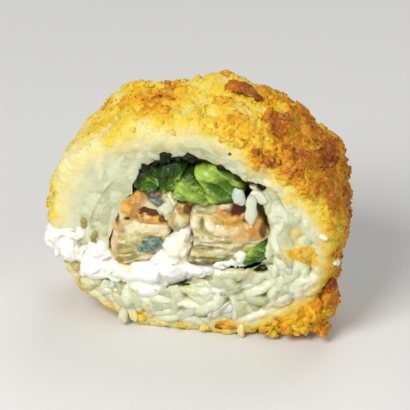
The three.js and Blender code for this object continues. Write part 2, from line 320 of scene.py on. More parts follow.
def grid_normals(rows: Array) -> Array:
    """Unit normals of a grid, square to the steps between each point's neighbours.

    Args:
        rows: Points of shape (rows, columns, 3), in rows that close on themselves.

    Returns:
        The normals, in the same shape.
    """
    along = np.gradient(rows, axis=0)
    around = np.roll(rows, -1, axis=1) - np.roll(rows, 1, axis=1)
    normal = np.cross(along, around)
    return normal / np.maximum(np.linalg.norm(normal, axis=-1, keepdims=True), 1e-9)


def make_piece(
    name: str,
    surface: Surface,
    material: bpy.types.Material,
    node: str,
    faceted: bool = False,
) -> None:
    """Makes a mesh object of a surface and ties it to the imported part.

    Args:
        name: The piece's name.
        surface: Its points, faces and masks.
        material: Its material.
        node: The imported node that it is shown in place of.
        faceted: Whether its faces keep sharp edges.
    """
    mesh = bpy.data.meshes.new(name)
    mesh.vertices.add(len(surface.points))
    mesh.vertices.foreach_set("co", (surface.points * MM).astype(np.float32).ravel())
    corners = np.concatenate([face.ravel() for face in surface.faces])
    counts = np.concatenate([np.full(len(face), face.shape[1]) for face in surface.faces])
    mesh.loops.add(len(corners))
    mesh.loops.foreach_set("vertex_index", corners.astype(np.int32))
    mesh.polygons.add(len(counts))
    mesh.polygons.foreach_set("loop_start", (np.cumsum(counts) - counts).astype(np.int32))
    mesh.update(calc_edges=True)
    mesh.validate()
    if not faceted:
        mesh.shade_smooth()
    for mask, values in surface.masks.items():
        layer = mesh.attributes.new(mask, "FLOAT", "POINT")
        layer.data.foreach_set("value", values.astype(np.float32))
    mesh.materials.append(material)
    piece = bpy.data.objects.new(name, mesh)
    bpy.context.collection.objects.link(piece)
    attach(piece, BODY)
    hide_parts(node)
    log.info("%s: %d triangles", name, surface.triangles())


# Scattered copies


def rice_kernel(rings: int = 7, sides: int = 10) -> Surface:
    """A cooked rice grain one unit long and wide, lying along Z: a fat, slightly bent spindle.

    The radius at the share t of the half length is (1 - |t|^2.6)^0.5.

    Args:
        rings: Rows of points between its tips.
        sides: Points in a row.

    Returns:
        The grain.
    """
    t = -np.cos(np.linspace(0, np.pi, rings + 2))[1:-1, None]
    turn = np.linspace(0, 2 * np.pi, sides, endpoint=False)[None, :]
    radius = 0.5 * np.sqrt(1 - np.abs(t) ** 2.6)
    bend = 0.07 * (1 - t**2)
    columns = radius * np.cos(turn) + bend, radius * np.sin(turn), 0.5 * t + 0 * turn
    grain = capped_tube(np.stack(columns, axis=-1))
    grain.points[-2, 2], grain.points[-1, 2] = -0.5, 0.5
    return grain


def crumb_ball(detail: int) -> Surface:
    """A ball one unit across made of even triangles, as the start of every crumb.

    Args:
        detail: How often each triangle of the twenty-sided solid is split in four.

    Returns:
        The ball's surface.
    """
    golden = (1 + 5**0.5) / 2
    corners = [(0, a, b * golden) for a in (-1, 1) for b in (-1, 1)]
    points = np.array([np.roll(c, n) for n in range(3) for c in corners], dtype=float)
    gaps = np.linalg.norm(points[:, None] - points[None], axis=-1)
    near = (gaps > 0.1) & (gaps < 2.1)
    triples = itertools.combinations(range(len(points)), 3)
    faces = np.array([(a, b, c) for a, b, c in triples if near[a, b] and near[b, c] and near[a, c]])
    first, second, third = (points[faces[:, n]] for n in range(3))
    inward = np.einsum("ij,ij->i", np.cross(second - first, third - first), first) < 0
    faces[inward] = faces[inward][:, ::-1]
    for _ in range(detail):
        edges = np.sort(faces[:, [0, 1, 1, 2, 2, 0]].reshape(-1, 2), axis=1)
        unique, place = np.unique(edges, axis=0, return_inverse=True)
        middle = place.reshape(-1, 3) + len(points)
        points = np.concatenate([points, points[unique].mean(axis=1)])
        a, b, c = faces.T
        ab, bc, ca = middle.T
        faces = np.concatenate(
            [np.stack(t, axis=-1) for t in ((a, ab, ca), (ab, b, bc), (ca, bc, c), (ab, bc, ca))]
        )
    points *= 0.5 / np.linalg.norm(points, axis=1, keepdims=True)
    return Surface(points, [faces])


def copies(unit: Surface, shapes: Array, frames: Array, centres: Array) -> Surface:
    """Places many copies of a small surface.

    Args:
        unit: The surface that is repeated.
        shapes: Its points for each copy before turning, shape (copies, points, 3).
        frames: What each copy's X, Y and Z turn to, shape (copies, 3, 3).
        centres: Where each copy goes, shape (copies, 3).

    Returns:
        All copies as one surface.
    """
    placed = shapes @ frames + centres[:, None, :]
    count, size = shapes.shape[:2]
    start = np.arange(count)[:, None, None] * size
    faces = [(face[None] + start).reshape(-1, face.shape[1]) for face in unit.faces]
    return Surface(placed.reshape(-1, 3), faces)


def turned_frames(normals: Array, headings: Array, tilt: Array) -> Array:
    """Axes for copies that lie on a surface.

    Args:
        normals: The surface's normals, which the copies' Y axes start from.
        headings: Directions that their Z axes follow as closely as they can.
        tilt: Turn of each about its X axis, in radians.

    Returns:
        Frames of shape (copies, 3, 3), for copies().
    """
    along = headings - normals * np.einsum("ij,ij->i", headings, normals)[:, None]
    along /= np.maximum(np.linalg.norm(along, axis=1, keepdims=True), 1e-9)
    across = np.cross(normals, along)
    cos, sin = np.cos(tilt)[:, None], np.sin(tilt)[:, None]
    return np.stack([across, normals * cos + along * sin, along * cos - normals * sin], axis=1)


def on_face(side: int, lean: Array, tilt: Array) -> Array:
    """Frames for copies() on the front face (-1) or back face (1), leaning from Z towards X."""
    heading = np.stack([np.sin(lean), 0 * lean, np.cos(lean)], axis=-1)
    return turned_frames(np.tile([0.0, float(side), 0.0], (len(lean), 1)), heading, tilt)


# The roll's form


@dataclass(frozen=True)
class RollForm:
    """The form that every sub-assembly of the slice follows, in millimetres and degrees.

    Attributes:
        half_width: Half the width of the ellipse that the outline starts from.
        half_height: Half its height.
        centre_x: Its middle, across.
        centre_z: Its middle, upwards.
        half_depth: From the middle of the slice to each cut face.
        rim: Radius of the rounding between a cut face and the crust.
        wrap: Thickness of the nori with the gap to the rice.
        lobes: Shallow waves of the outline: how many, share of the radius, direction.
        hollow: The hollow inside the nori, as x, z points.
        lumps: Thick patches of batter: direction, place along, reach and height.
    """

    half_width: float = 26.1
    half_height: float = 21.3
    centre_x: float = 0.2
    centre_z: float = 20.8
    half_depth: float = 9.5
    rim: float = 2.6
    wrap: float = 0.8
    lobes: Spots = (
        (1, 0.035, -85), (2, 0.019, 113), (3, 0.019, -119), (4, 0.014, -153),
    )
    hollow: Pairs = (
        (14.7, 20.6), (13.4, 26.6), (9.2, 31.4), (3.2, 33.9), (-4, 33.6), (-9.4, 30), (-12.6, 24.8),
        (-14.7, 18), (-14, 11.4), (-9.6, 7), (-3.4, 8.2), (4.4, 12), (12.4, 14.6),
    )
    lumps: Spots = (
        (-39, 2.5, 5.5, 2.8), (58, 1, 5, 1.3), (84, 4.5, 4.5, 1.1), (112, -1.5, 6, 0.9),
        (131, 5, 5, 1.4), (158, -3, 5, 0.7), (22, 5.5, 5.5, 1), (4, -4, 4, 0.8), (206, 4, 4.5, 0.9),
        (228, -2, 4, 0.8),
    )

    def outline(self, angle: Array) -> Array:
        """Radius of the roll: an ellipse times one plus its lobes.

        Args:
            angle: Directions in radians.

        Returns:
            The radius in each direction.
        """
        a, b = self.half_width, self.half_height
        ellipse = a * b / np.hypot(b * np.cos(angle), a * np.sin(angle))
        lobes = sum(s * np.cos(n * angle - np.radians(at)) for n, s, at in self.lobes)
        return ellipse * (1 + lobes)

    def hollow_radius(self, angle: Array) -> Array:
        """Radius of the hollow, read off its smooth loop.

        Args:
            angle: Directions in radians.

        Returns:
            The radius in each direction.
        """
        loop = closed_curve(self.hollow, 360) - np.array([self.centre_x, self.centre_z])
        turn = np.arctan2(loop[:, 1], loop[:, 0])
        order = np.argsort(turn)
        reach = np.hypot(loop[:, 0], loop[:, 1])
        return np.interp(angle, turn[order], reach[order], period=2 * np.pi)

    def place(self, angle: Array, radius: Array, along: Array) -> Array:
        """Points at an angle and radius from the roll's middle, at a place along it."""
        x, z = self.centre_x + radius * np.cos(angle), self.centre_z + radius * np.sin(angle)
        return np.stack(np.broadcast_arrays(x, along, z), axis=-1)

    def polar(self, points: Array) -> tuple[Array, Array]:
        """Angle and radius of points, seen from the roll's middle."""
        x, z = points[..., 0] - self.centre_x, points[..., 2] - self.centre_z
        return np.arctan2(z, x), np.hypot(x, z)

    def batter(self, angle: Array, along: Array) -> Array:
        """Height of the thick batter: one bell for each lump, and slow noise between.

        Args:
            angle: Directions in radians.
            along: Places along the roll.

        Returns:
            The height at each place.
        """
        radius = self.outline(angle)
        skin = self.place(angle, radius, along)
        height = 0.75 * soft_noise(skin, 7.5, 5.0)
        for direction, at, reach, rise in self.lumps:
            turn = angle - np.radians(direction)
            arc = radius * np.arctan2(np.sin(turn), np.cos(turn))
            height = height + rise * np.exp(-(arc**2 + (along - at) ** 2) / reach**2)
        return height


FORM = RollForm()


# Materials


@dataclass
class ShaderBench:
    """Builds a material's nodes, one call for each.

    Attributes:
        tree: The nodes that it adds to.
        mottle: The shared mottle's node, once it is placed.
    """

    tree: bpy.types.NodeTree
    mottle: bpy.types.Node | None = None

    def node(self, kind: str, **settings: object) -> bpy.types.Node:
        """Adds a node and sets its properties.

        Args:
            kind: The node's type.
            **settings: Its properties.

        Returns:
            The node.
        """
        made = self.tree.nodes.new(kind)
        for name, value in settings.items():
            setattr(made, name, value)
        return made

    def link(self, source: Socket, target: Socket) -> None:
        """Joins an output to an input."""
        self.tree.links.new(source, target)

    def feed(self, target: Socket, value: object) -> None:
        """Links a socket to an input, or sets the input to a plain value.

        Args:
            target: The input.
            value: The socket or the value.
        """
        if isinstance(value, Socket):
            self.link(value, target)
        else:
            target.default_value = value

    def mask(self, name: str) -> Socket:
        """Reads an output of the shared mottle, or else a mask that the mesh carries."""
        found = self.mottle.outputs.get(name) if self.mottle else None
        return found or self.node("ShaderNodeAttribute", attribute_name=name).outputs["Fac"]

    def sum(self, kind: str, *terms: object, clamp: bool = False) -> Socket:
        """Does arithmetic on numbers.

        Args:
            kind: The operation, such as ADD or MULTIPLY.
            *terms: Sockets or numbers, as many as the operation takes.
            clamp: Whether the result is kept between 0 and 1.

        Returns:
            The result.
        """
        made = self.node("ShaderNodeMath", operation=kind, use_clamp=clamp)
        for socket, term in zip(made.inputs, terms):
            self.feed(socket, term)
        return made.outputs[0]

    def ramp(self, share: Socket, stops: Stops) -> Socket:
        """Turns a number into a colour.

        Args:
            share: The number, from 0 to 1.
            stops: Numbers and their colours, blended between.

        Returns:
            The colour.
        """
        made = self.node("ShaderNodeValToRGB")
        elements = made.color_ramp.elements
        while len(elements) < len(stops):
            elements.new(0.5)
        for element, (at, colour) in zip(elements, stops):
            element.position = at
            element.color = (*linear(colour), 1.0)
        self.link(share, made.inputs["Fac"])
        return made.outputs["Color"]

    def blend(self, share: object, low: object, high: object) -> Socket:
        """Mixes two colours.

        Args:
            share: Share of the second, from 0 to 1.
            low: The first colour, or its socket.
            high: The second.

        Returns:
            The mixed colour.
        """
        made = self.node("ShaderNodeMix", data_type="RGBA")
        self.feed(made.inputs["Factor"], share)
        for socket, value in ((made.inputs[6], low), (made.inputs[7], high)):
            self.feed(socket, value if isinstance(value, Socket) else (*linear(value), 1.0))
        return made.outputs[2]

    def bump(self, height: Socket, distance: float, strength: float = 1.0) -> Socket:
        """Turns a height from 0 to 1 into a normal.

        Args:
            height: The height.
            distance: What a height of 1 stands for, in millimetres.
            strength: How strongly it shades.

        Returns:
            The normal.
        """
        made = self.node("ShaderNodeBump")
        made.inputs["Strength"].default_value = strength
        made.inputs["Distance"].default_value = distance * MM
        self.link(height, made.inputs["Height"])
        return made.outputs["Normal"]


def linear(colour: Colour) -> Colour:
    """Turns a colour of 0 to 255 as seen on a screen into light values."""
    value = np.asarray(colour, dtype=float) / 255
    return tuple(np.where(value <= 0.04045, value / 12.92, ((value + 0.055) / 1.055) ** 2.4).tolist())


@dataclass(frozen=True)
class Gloss:
    """The uniform values of a finish.

    Attributes:
        roughness: How matt it is, from 0 to 1.
        glow: Share of the light that passes under the surface.
        depth: How far that light goes, in millimetres.
        tint: How much farther each of red, green and blue goes.
        coat: Strength of a wet film.
        coat_roughness: Roughness of that film.
        shine: Strength of plain reflections, 0.5 for most food.
    """

    roughness: float
    glow: float = 0.0
    depth: float = 1.0
    tint: Colour = (1.0, 0.7, 0.4)
    coat: float = 0.0
    coat_roughness: float = 0.15
    shine: float = 0.5


def mottle_group() -> bpy.types.NodeTree:
    """Builds the shared effect of uneven food: broad blotches, fine specks and a height.

    Returns:
        A node group with the inputs Blotch and Speck, in patches a metre, and the outputs
        Blotches, Specks and Height, from 0 to 1.
    """
    group = bpy.data.node_groups.new("food_mottle", "ShaderNodeTree")
    for name in ("Blotch", "Speck"):
        group.interface.new_socket(name, in_out="INPUT", socket_type="NodeSocketFloat")
    for name in ("Blotches", "Specks", "Height"):
        group.interface.new_socket(name, in_out="OUTPUT", socket_type="NodeSocketFloat")
    bench = ShaderBench(group)
    place = bench.node("ShaderNodeTexCoord").outputs["Object"]
    inputs = bench.node("NodeGroupInput")
    outputs = bench.node("NodeGroupOutput")
    found = {}
    for name, detail in (("Blotch", 2.0), ("Speck", 4.0)):
        noise = bench.node("ShaderNodeTexNoise")
        noise.inputs["Detail"].default_value = detail
        bench.link(place, noise.inputs["Vector"])
        bench.link(inputs.outputs[name], noise.inputs["Scale"])
        spread = bench.node("ShaderNodeMapRange")
        spread.inputs["From Min"].default_value = 0.3
        spread.inputs["From Max"].default_value = 0.7
        bench.link(noise.outputs["Fac"], spread.inputs["Value"])
        found[name] = spread.outputs["Result"]
    bench.link(found["Blotch"], outputs.inputs["Blotches"])
    bench.link(found["Speck"], outputs.inputs["Specks"])
    broad = bench.sum("MULTIPLY", found["Blotch"], 0.4)
    bench.link(bench.sum("MULTIPLY_ADD", found["Speck"], 0.6, broad), outputs.inputs["Height"])
    return group


@dataclass(frozen=True)
class Coat:
    """A coat of colour over the ones before.

    Attributes:
        mask: What it is painted through, or nothing for the first coat.
        low: Its colour.
        high: A second colour, blended in by the pattern.
        by: The pattern: Blotches or Specks of the mottle, or a mask.
        stops: Colours that the pattern runs through, instead of the two.
        drift: How far the mottle shifts it along those stops.
    """

    mask: str
    low: Colour = (0, 0, 0)
    high: Colour | None = None
    by: str = "Blotches"
    stops: Stops = ()
    drift: float = 0.0

    def tint(self, bench: ShaderBench) -> Socket | Colour:
        """Works out its own colour.

        Args:
            bench: The material's bench.

        Returns:
            The colour, plain or as a socket.
        """
        if not self.stops:
            return bench.blend(bench.mask(self.by), self.low, self.high) if self.high else self.low
        share = bench.mask(self.by)
        if self.drift:
            for spots in ("Blotches", "Specks"):
                share = bench.sum("MULTIPLY_ADD", bench.mask(spots), self.drift, share)
            share = bench.sum("SUBTRACT", share, self.drift, clamp=True)
        return bench.ramp(share, self.stops)


@dataclass(frozen=True)
class Finish:
    """A finish: coats of colour, uniform values, and the shared mottle with its relief.

    Attributes:
        name: The material's name.
        gloss: Uniform values of the surface shader.
        blotch: Broad blotches in a metre.
        speck: Fine specks in a metre.
        coats: Its coats of colour.
        relief: Depth of the mottle's relief in millimetres.
        strength: How strongly the relief shades.
        changes: Uniform values that a mask changes: the shader's input, mask and change.
    """

    name: str
    gloss: Gloss
    blotch: float
    speck: float
    coats: tuple[Coat, ...]
    relief: float = 0.0
    strength: float = 1.0
    changes: tuple[tuple[str, str, float], ...] = ()

    def build(self) -> bpy.types.Material:
        """Makes the material.

        Returns:
            The material.
        """
        material = bpy.data.materials.new(self.name)
        material.use_nodes = True
        shader = material.node_tree.nodes["Principled BSDF"]
        gloss = self.gloss
        shader.inputs["Roughness"].default_value = gloss.roughness
        shader.inputs["Subsurface Weight"].default_value = gloss.glow
        shader.inputs["Subsurface Radius"].default_value = gloss.tint
        shader.inputs["Subsurface Scale"].default_value = gloss.depth * MM
        shader.inputs["Coat Weight"].default_value = gloss.coat
        shader.inputs["Coat Roughness"].default_value = gloss.coat_roughness
        shader.inputs["Specular IOR Level"].default_value = gloss.shine
        bench = ShaderBench(material.node_tree)
        group = bpy.data.node_groups.get("food_mottle") or mottle_group()
        bench.mottle = bench.node("ShaderNodeGroup", node_tree=group)
        bench.mottle.inputs["Blotch"].default_value = self.blotch
        bench.mottle.inputs["Speck"].default_value = self.speck
        colour = self.coats[0].tint(bench)
        for coat in self.coats[1:]:
            colour = bench.blend(bench.mask(coat.mask), colour, coat.tint(bench))
        bench.link(colour, shader.inputs["Base Color"])
        for name, mask, change in self.changes:
            target = shader.inputs[name]
            value = target.links[0].from_socket if target.is_linked else target.default_value
            bench.link(bench.sum("MULTIPLY_ADD", bench.mask(mask), change, value), target)
        if self.relief:
            normal = bench.bump(bench.mask("Height"), self.relief, self.strength)
            bench.link(normal, shader.inputs["Normal"])
        return material


# Tone runs from near black, which paints the shade in the pits, to the palest rice.
RICE_STOPS: Stops = (
    (0, (30, 26, 14)),
    (0.08, (112, 108, 64)),
    (0.28, (174, 176, 130)),
    (0.52, (204, 207, 168)),
    (0.76, (222, 225, 194)),
    (1, (246, 247, 236)),
)
RICE_COATS = (Coat("", by="tone", stops=RICE_STOPS), Coat("stain", (232, 212, 132)))
RICE = Finish(
    "cooked_rice",
    Gloss(0.36, 0.5, 1.3, (1.0, 0.9, 0.7), 0.35, 0.14),
    300.0,
    1600.0,
    (*RICE_COATS, Coat("cool", (178, 196, 194))),
    relief=0.05,
    strength=0.5,
)
FRIED_STOPS: Stops = (
    (0, (228, 218, 156)),
    (0.18, (230, 210, 104)),
    (0.36, (229, 197, 54)),
    (0.52, (228, 178, 20)),
    (0.68, (212, 138, 10)),
    (0.84, (176, 98, 6)),
    (1, (118, 56, 4)),
)
CRUST = Finish(
    "fried_crumb_crust",
    Gloss(0.26, 0.3, 0.9, (1.0, 0.85, 0.6), 0.36, 0.16, 0.35),
    260.0,
    1700.0,
    (*RICE_COATS, Coat("crust", by="toast", stops=FRIED_STOPS, drift=0.16)),
    relief=0.16,
    strength=0.8,
    changes=(("Roughness", "Specks", 0.16), ("Roughness", "crust", 0.24), ("Coat Weight", "crust", -0.3)),
)
NORI = Finish(
    "damp_nori",
    Gloss(0.5, shine=0.2),
    500.0,
    2200.0,
    (Coat("", (16, 32, 4), (44, 44, 14)), Coat("Specks", (10, 18, 4))),
    relief=0.12,
)
CUCUMBER = Finish(
    "wet_cucumber",
    Gloss(0.36, 0.25, 0.7, (0.6, 1.0, 0.3), 0.14, 0.12, 0.25),
    420.0,
    1500.0,
    (
        Coat("", (44, 84, 2), (76, 118, 8)),
        Coat("core", (164, 190, 76)),
        Coat("peel", (12, 34, 2), (36, 70, 4), "Specks"),
    ),
    relief=0.1,
)
EEL = Finish(
    "glazed_eel",
    Gloss(0.36, 0.25, 0.7, (1.0, 0.9, 0.6), 0.36, 0.12, 0.3),
    420.0,
    1300.0,
    (
        Coat("", (218, 200, 130), (194, 176, 102)),
        Coat("olive", (156, 154, 72), (104, 100, 36)),
        Coat("pale", (246, 238, 212), (228, 216, 176), "Specks"),
        Coat("glaze", (232, 182, 76), (200, 126, 16)),
        Coat("skin", (42, 62, 58), (146, 170, 152), "Specks"),
        # Darkest coat: charred glaze with painted shade.
        Coat("char", (104, 46, 4), (44, 20, 3)),
    ),
    relief=0.06,
    changes=(("Coat Weight", "char", -0.34),),
)
CHEESE = Finish(
    "moist_soft_cheese",
    Gloss(0.32, 0.45, 1.6, (1.0, 0.95, 0.8), 0.25, 0.12),
    260.0,
    1400.0,
    # The second coat is cream tone, with painted shade in the hollows.
    (Coat("", (251, 251, 244), (246, 245, 230)), Coat("cream_and_shade", (240, 229, 182))),
    relief=0.08,
    strength=0.6,
)
TABLE = Finish(
    "pale_table", Gloss(0.6, shine=0.3), 4.0, 60.0, (Coat("", (222, 221, 217), (226, 225, 222)),)
)


# Spots on a cut face


def by_angle(table: Pairs, angle: Array) -> Array:
    """Reads a table of directions, blended between its entries."""
    at, value = np.array(table).T
    return np.interp(np.degrees(angle) % 360, at, value)


@dataclass(frozen=True)
class Patch:
    """An oval spot on a cut face.

    Attributes:
        x: Its middle, across.
        z: Its middle, upwards.
        wide: Half its length.
        high: Half its height.
        strength: What it adds at its middle.
        lean: Its turn in degrees, anticlockwise from X.
    """

    x: float
    z: float
    wide: float
    high: float
    strength: float = 1.0
    lean: float = 0.0

    def reach(self, points: Array, ragged: float) -> Array:
        """Distance from the middle as a share of the oval's size.

        Args:
            points: Places on a cut face.
            ragged: How far the oval's edge wavers, as a share.

        Returns:
            The share, 1 on the edge.
        """
        lean = np.radians(self.lean)
        x, z = points[..., 0] - self.x, points[..., 2] - self.z
        u = (x * np.cos(lean) + z * np.sin(lean)) / self.wide
        v = (z * np.cos(lean) - x * np.sin(lean)) / self.high
        return np.hypot(u, v) + ragged * rough_noise(points, 1.3, 2, self.x)

    def cover(self, points: Array, ragged: float = 0.45) -> Array:
        """Flat-topped share from 0 to strength."""
        return self.strength * ease(1.25, 0.65, self.reach(points, ragged))

    def dome(self, points: Array, ragged: float = 0.12) -> Array:
        """Rounded height: strength times one minus the squared distance, to the power 0.8."""
        return self.strength * np.clip(1 - self.reach(points, ragged) ** 2, 0, 1) ** 0.8


def covered(spots: Sequence[Spot], points: Array) -> Array:
    """The strongest cover of several spots, each the numbers of a Patch, at each point."""
    covers = [Patch(*spot).cover(points) for spot in spots]
    return np.max([np.zeros(points.shape[:-1]), *covers], axis=0)


def domed(spots: Sequence[Spot], points: Array) -> Array:
    """The summed heights of several spots at each point."""
    return sum((Patch(*spot).dome(points) for spot in spots), np.zeros(points.shape[:-1]))


# Rice and crust


def crumb_relief(points: Array) -> tuple[Array, Array]:
    """Relief of fried batter: tilted flakes with packed crumbs on them, rougher in patches.

    Args:
        points: Places on the smooth crust.

    Returns:
        Height in millimetres, and a number from 0 to 1 that differs from crumb to crumb.
    """
    warp = np.stack([rough_noise(points, 2.2, 2, s) for s in (3.0, 23.0, 43.0)], axis=-1)
    bent = points + 0.8 * warp
    broad = crumb_cells(bent, 3.1)
    middle = crumb_cells(bent, 1.35, 5.0)
    fine = crumb_cells(points + 0.3 * warp, 0.7, 9.0)
    rough = 0.5 + 0.5 * ease(-0.35, 0.45, soft_noise(points, 8.0, 77.0))
    flakes = 0.7 * broad.token + 1.2 * broad.chip - 0.2 * ease(0.2, 0.0, broad.edge)
    crumbs = 0.34 * middle.token + 0.6 * middle.chip - 0.16 * ease(0.2, 0.0, middle.edge)
    specks = 0.16 * fine.token + 0.3 * fine.chip
    height = flakes + rough * (crumbs + specks) + 0.25 * rough_noise(points, 3.2, 3, 2.0)
    return 0.9 * np.tanh((height - 0.4) / 0.9), 0.55 * broad.token + 0.45 * middle.token


@dataclass(frozen=True)
class GrainBed:
    """Rice grains pressed side by side into a cut face, blended into one soft surface.

    Attributes:
        spots: Middles of the grains as x, z.
        lean: Directions of the grains, from Z towards X, in radians.
        sizes: Half lengths and half widths.
        lift: Heights of their edges.
        tone: How pale each grain is, from 0 to 1.
    """

    spots: Array
    lean: Array
    sizes: Array
    lift: Array
    tone: Array

    @classmethod
    def scattered(cls, seed: int) -> GrainBed:
        """Scatters grains over the face: a jittered lattice, and a lower layer between.

        Args:
            seed: Start of the random draws.

        Returns:
            The bed. Three grains in five follow the roll, and the rest lie any way or end on.
        """
        draw = np.random.default_rng(seed)
        x, z = np.meshgrid(np.arange(-27, 28, 3.2), np.arange(0, 44, 1.8))
        x = x + np.where(np.arange(len(x)) % 2, 1.6, 0)[:, None]
        top = np.stack([x.ravel(), z.ravel()], axis=-1)
        spots = np.concatenate([top, top + np.array([1.5, 0.9])])
        count = len(spots)
        spots = spots + draw.uniform(-0.9, 0.9, spots.shape)
        follow = np.arctan2(spots[:, 1] - FORM.centre_z, spots[:, 0] - FORM.centre_x)
        free = draw.uniform(-np.pi / 2, np.pi / 2, count)
        lean = -follow + np.where(draw.random(count) < 0.6, draw.normal(0, 0.35, count), free)
        on_end = draw.random(count) < 0.2
        long = np.where(on_end, draw.uniform(1.3, 1.8, count), draw.uniform(2.3, 3.0, count))
        sizes = np.stack([long, draw.uniform(0.8, 1.05, count)], axis=-1)
        lift = draw.uniform(-0.25, 0.25, count) - np.where(np.arange(count) < len(top), 0.0, 0.2)
        return cls(spots, lean, sizes, lift, draw.random(count))

    def relief(self, points: Array, softness: float = 0.035) -> tuple[Array, Array]:
        """Soft maximum of all grains: the log of the sum of their exponentials.

        A grain rises over its edge by 0.65 times one minus its reach to the power 2.6, where
        its reach is the distance from its middle as a share of its oval.

        Args:
            points: Places on the face.
            softness: Height in millimetres over which two grains blend.

        Returns:
            Height in millimetres and the mean tone, at each point.
        """
        weight = np.full(points.shape[:-1], 1e-12)
        toned = 0.5 * weight
        x, z = points[..., 0], points[..., 2]
        for (at_x, at_z), lean, (long, wide), lift, tone in zip(
            self.spots, self.lean, self.sizes, self.lift, self.tone
        ):
            near = (np.abs(x - at_x) < 2 * long) & (np.abs(z - at_z) < 2 * long)
            if not near.any():
                continue
            dx, dz = x[near] - at_x, z[near] - at_z
            u = (dx * np.sin(lean) + dz * np.cos(lean)) / long
            v = (dx * np.cos(lean) - dz * np.sin(lean)) / wide
            share = np.exp((lift + 0.65 * (1 - (u * u + v * v) ** 1.3)) / softness)
            weight[near] += share
            toned[near] += share * tone
        return np.maximum(softness * np.log(weight), -0.7), toned / weight


@dataclass
class RingSection:
    """Steps round the ring's section, from the hollow over one face and back by the other.

    Attributes:
        depth: 0 at the rim and on the crust, 1 at the hollow.
        turn: 0 on the faces, a quarter turn on the crust.
        along: Place along the roll.
        side: -1 on the front half of the section, 1 on the back half, 0 along the hollow.
        wall: Whether the step lies along the hollow.
    """

    depth: Array
    turn: Array
    along: Array
    side: Array
    wall: Array


@dataclass
class RingSkin:
    """The finished grid of the ring, for laying crumbs on it.

    Attributes:
        points: Grid of points, shape (around, section, 3).
        normals: Unit normals of the grid.
        masks: Shading masks of the grid.
    """

    points: Array
    normals: Array
    masks: Masks


@dataclass(frozen=True)
class CrumbKind:
    """One size of crumb on the crust.

    Attributes:
        name: The piece's name.
        count: How many are drawn.
        small: Least length in millimetres.
        large: Greatest length.
        seed: Start of the random draws.
        sunk: Share of its thickness that is pressed in.
        clear: Height below which a crumb would lie under the foot, so it is left out.
    """

    name: str
    count: int
    small: float
    large: float
    seed: int
    sunk: float
    clear: float = 0.3


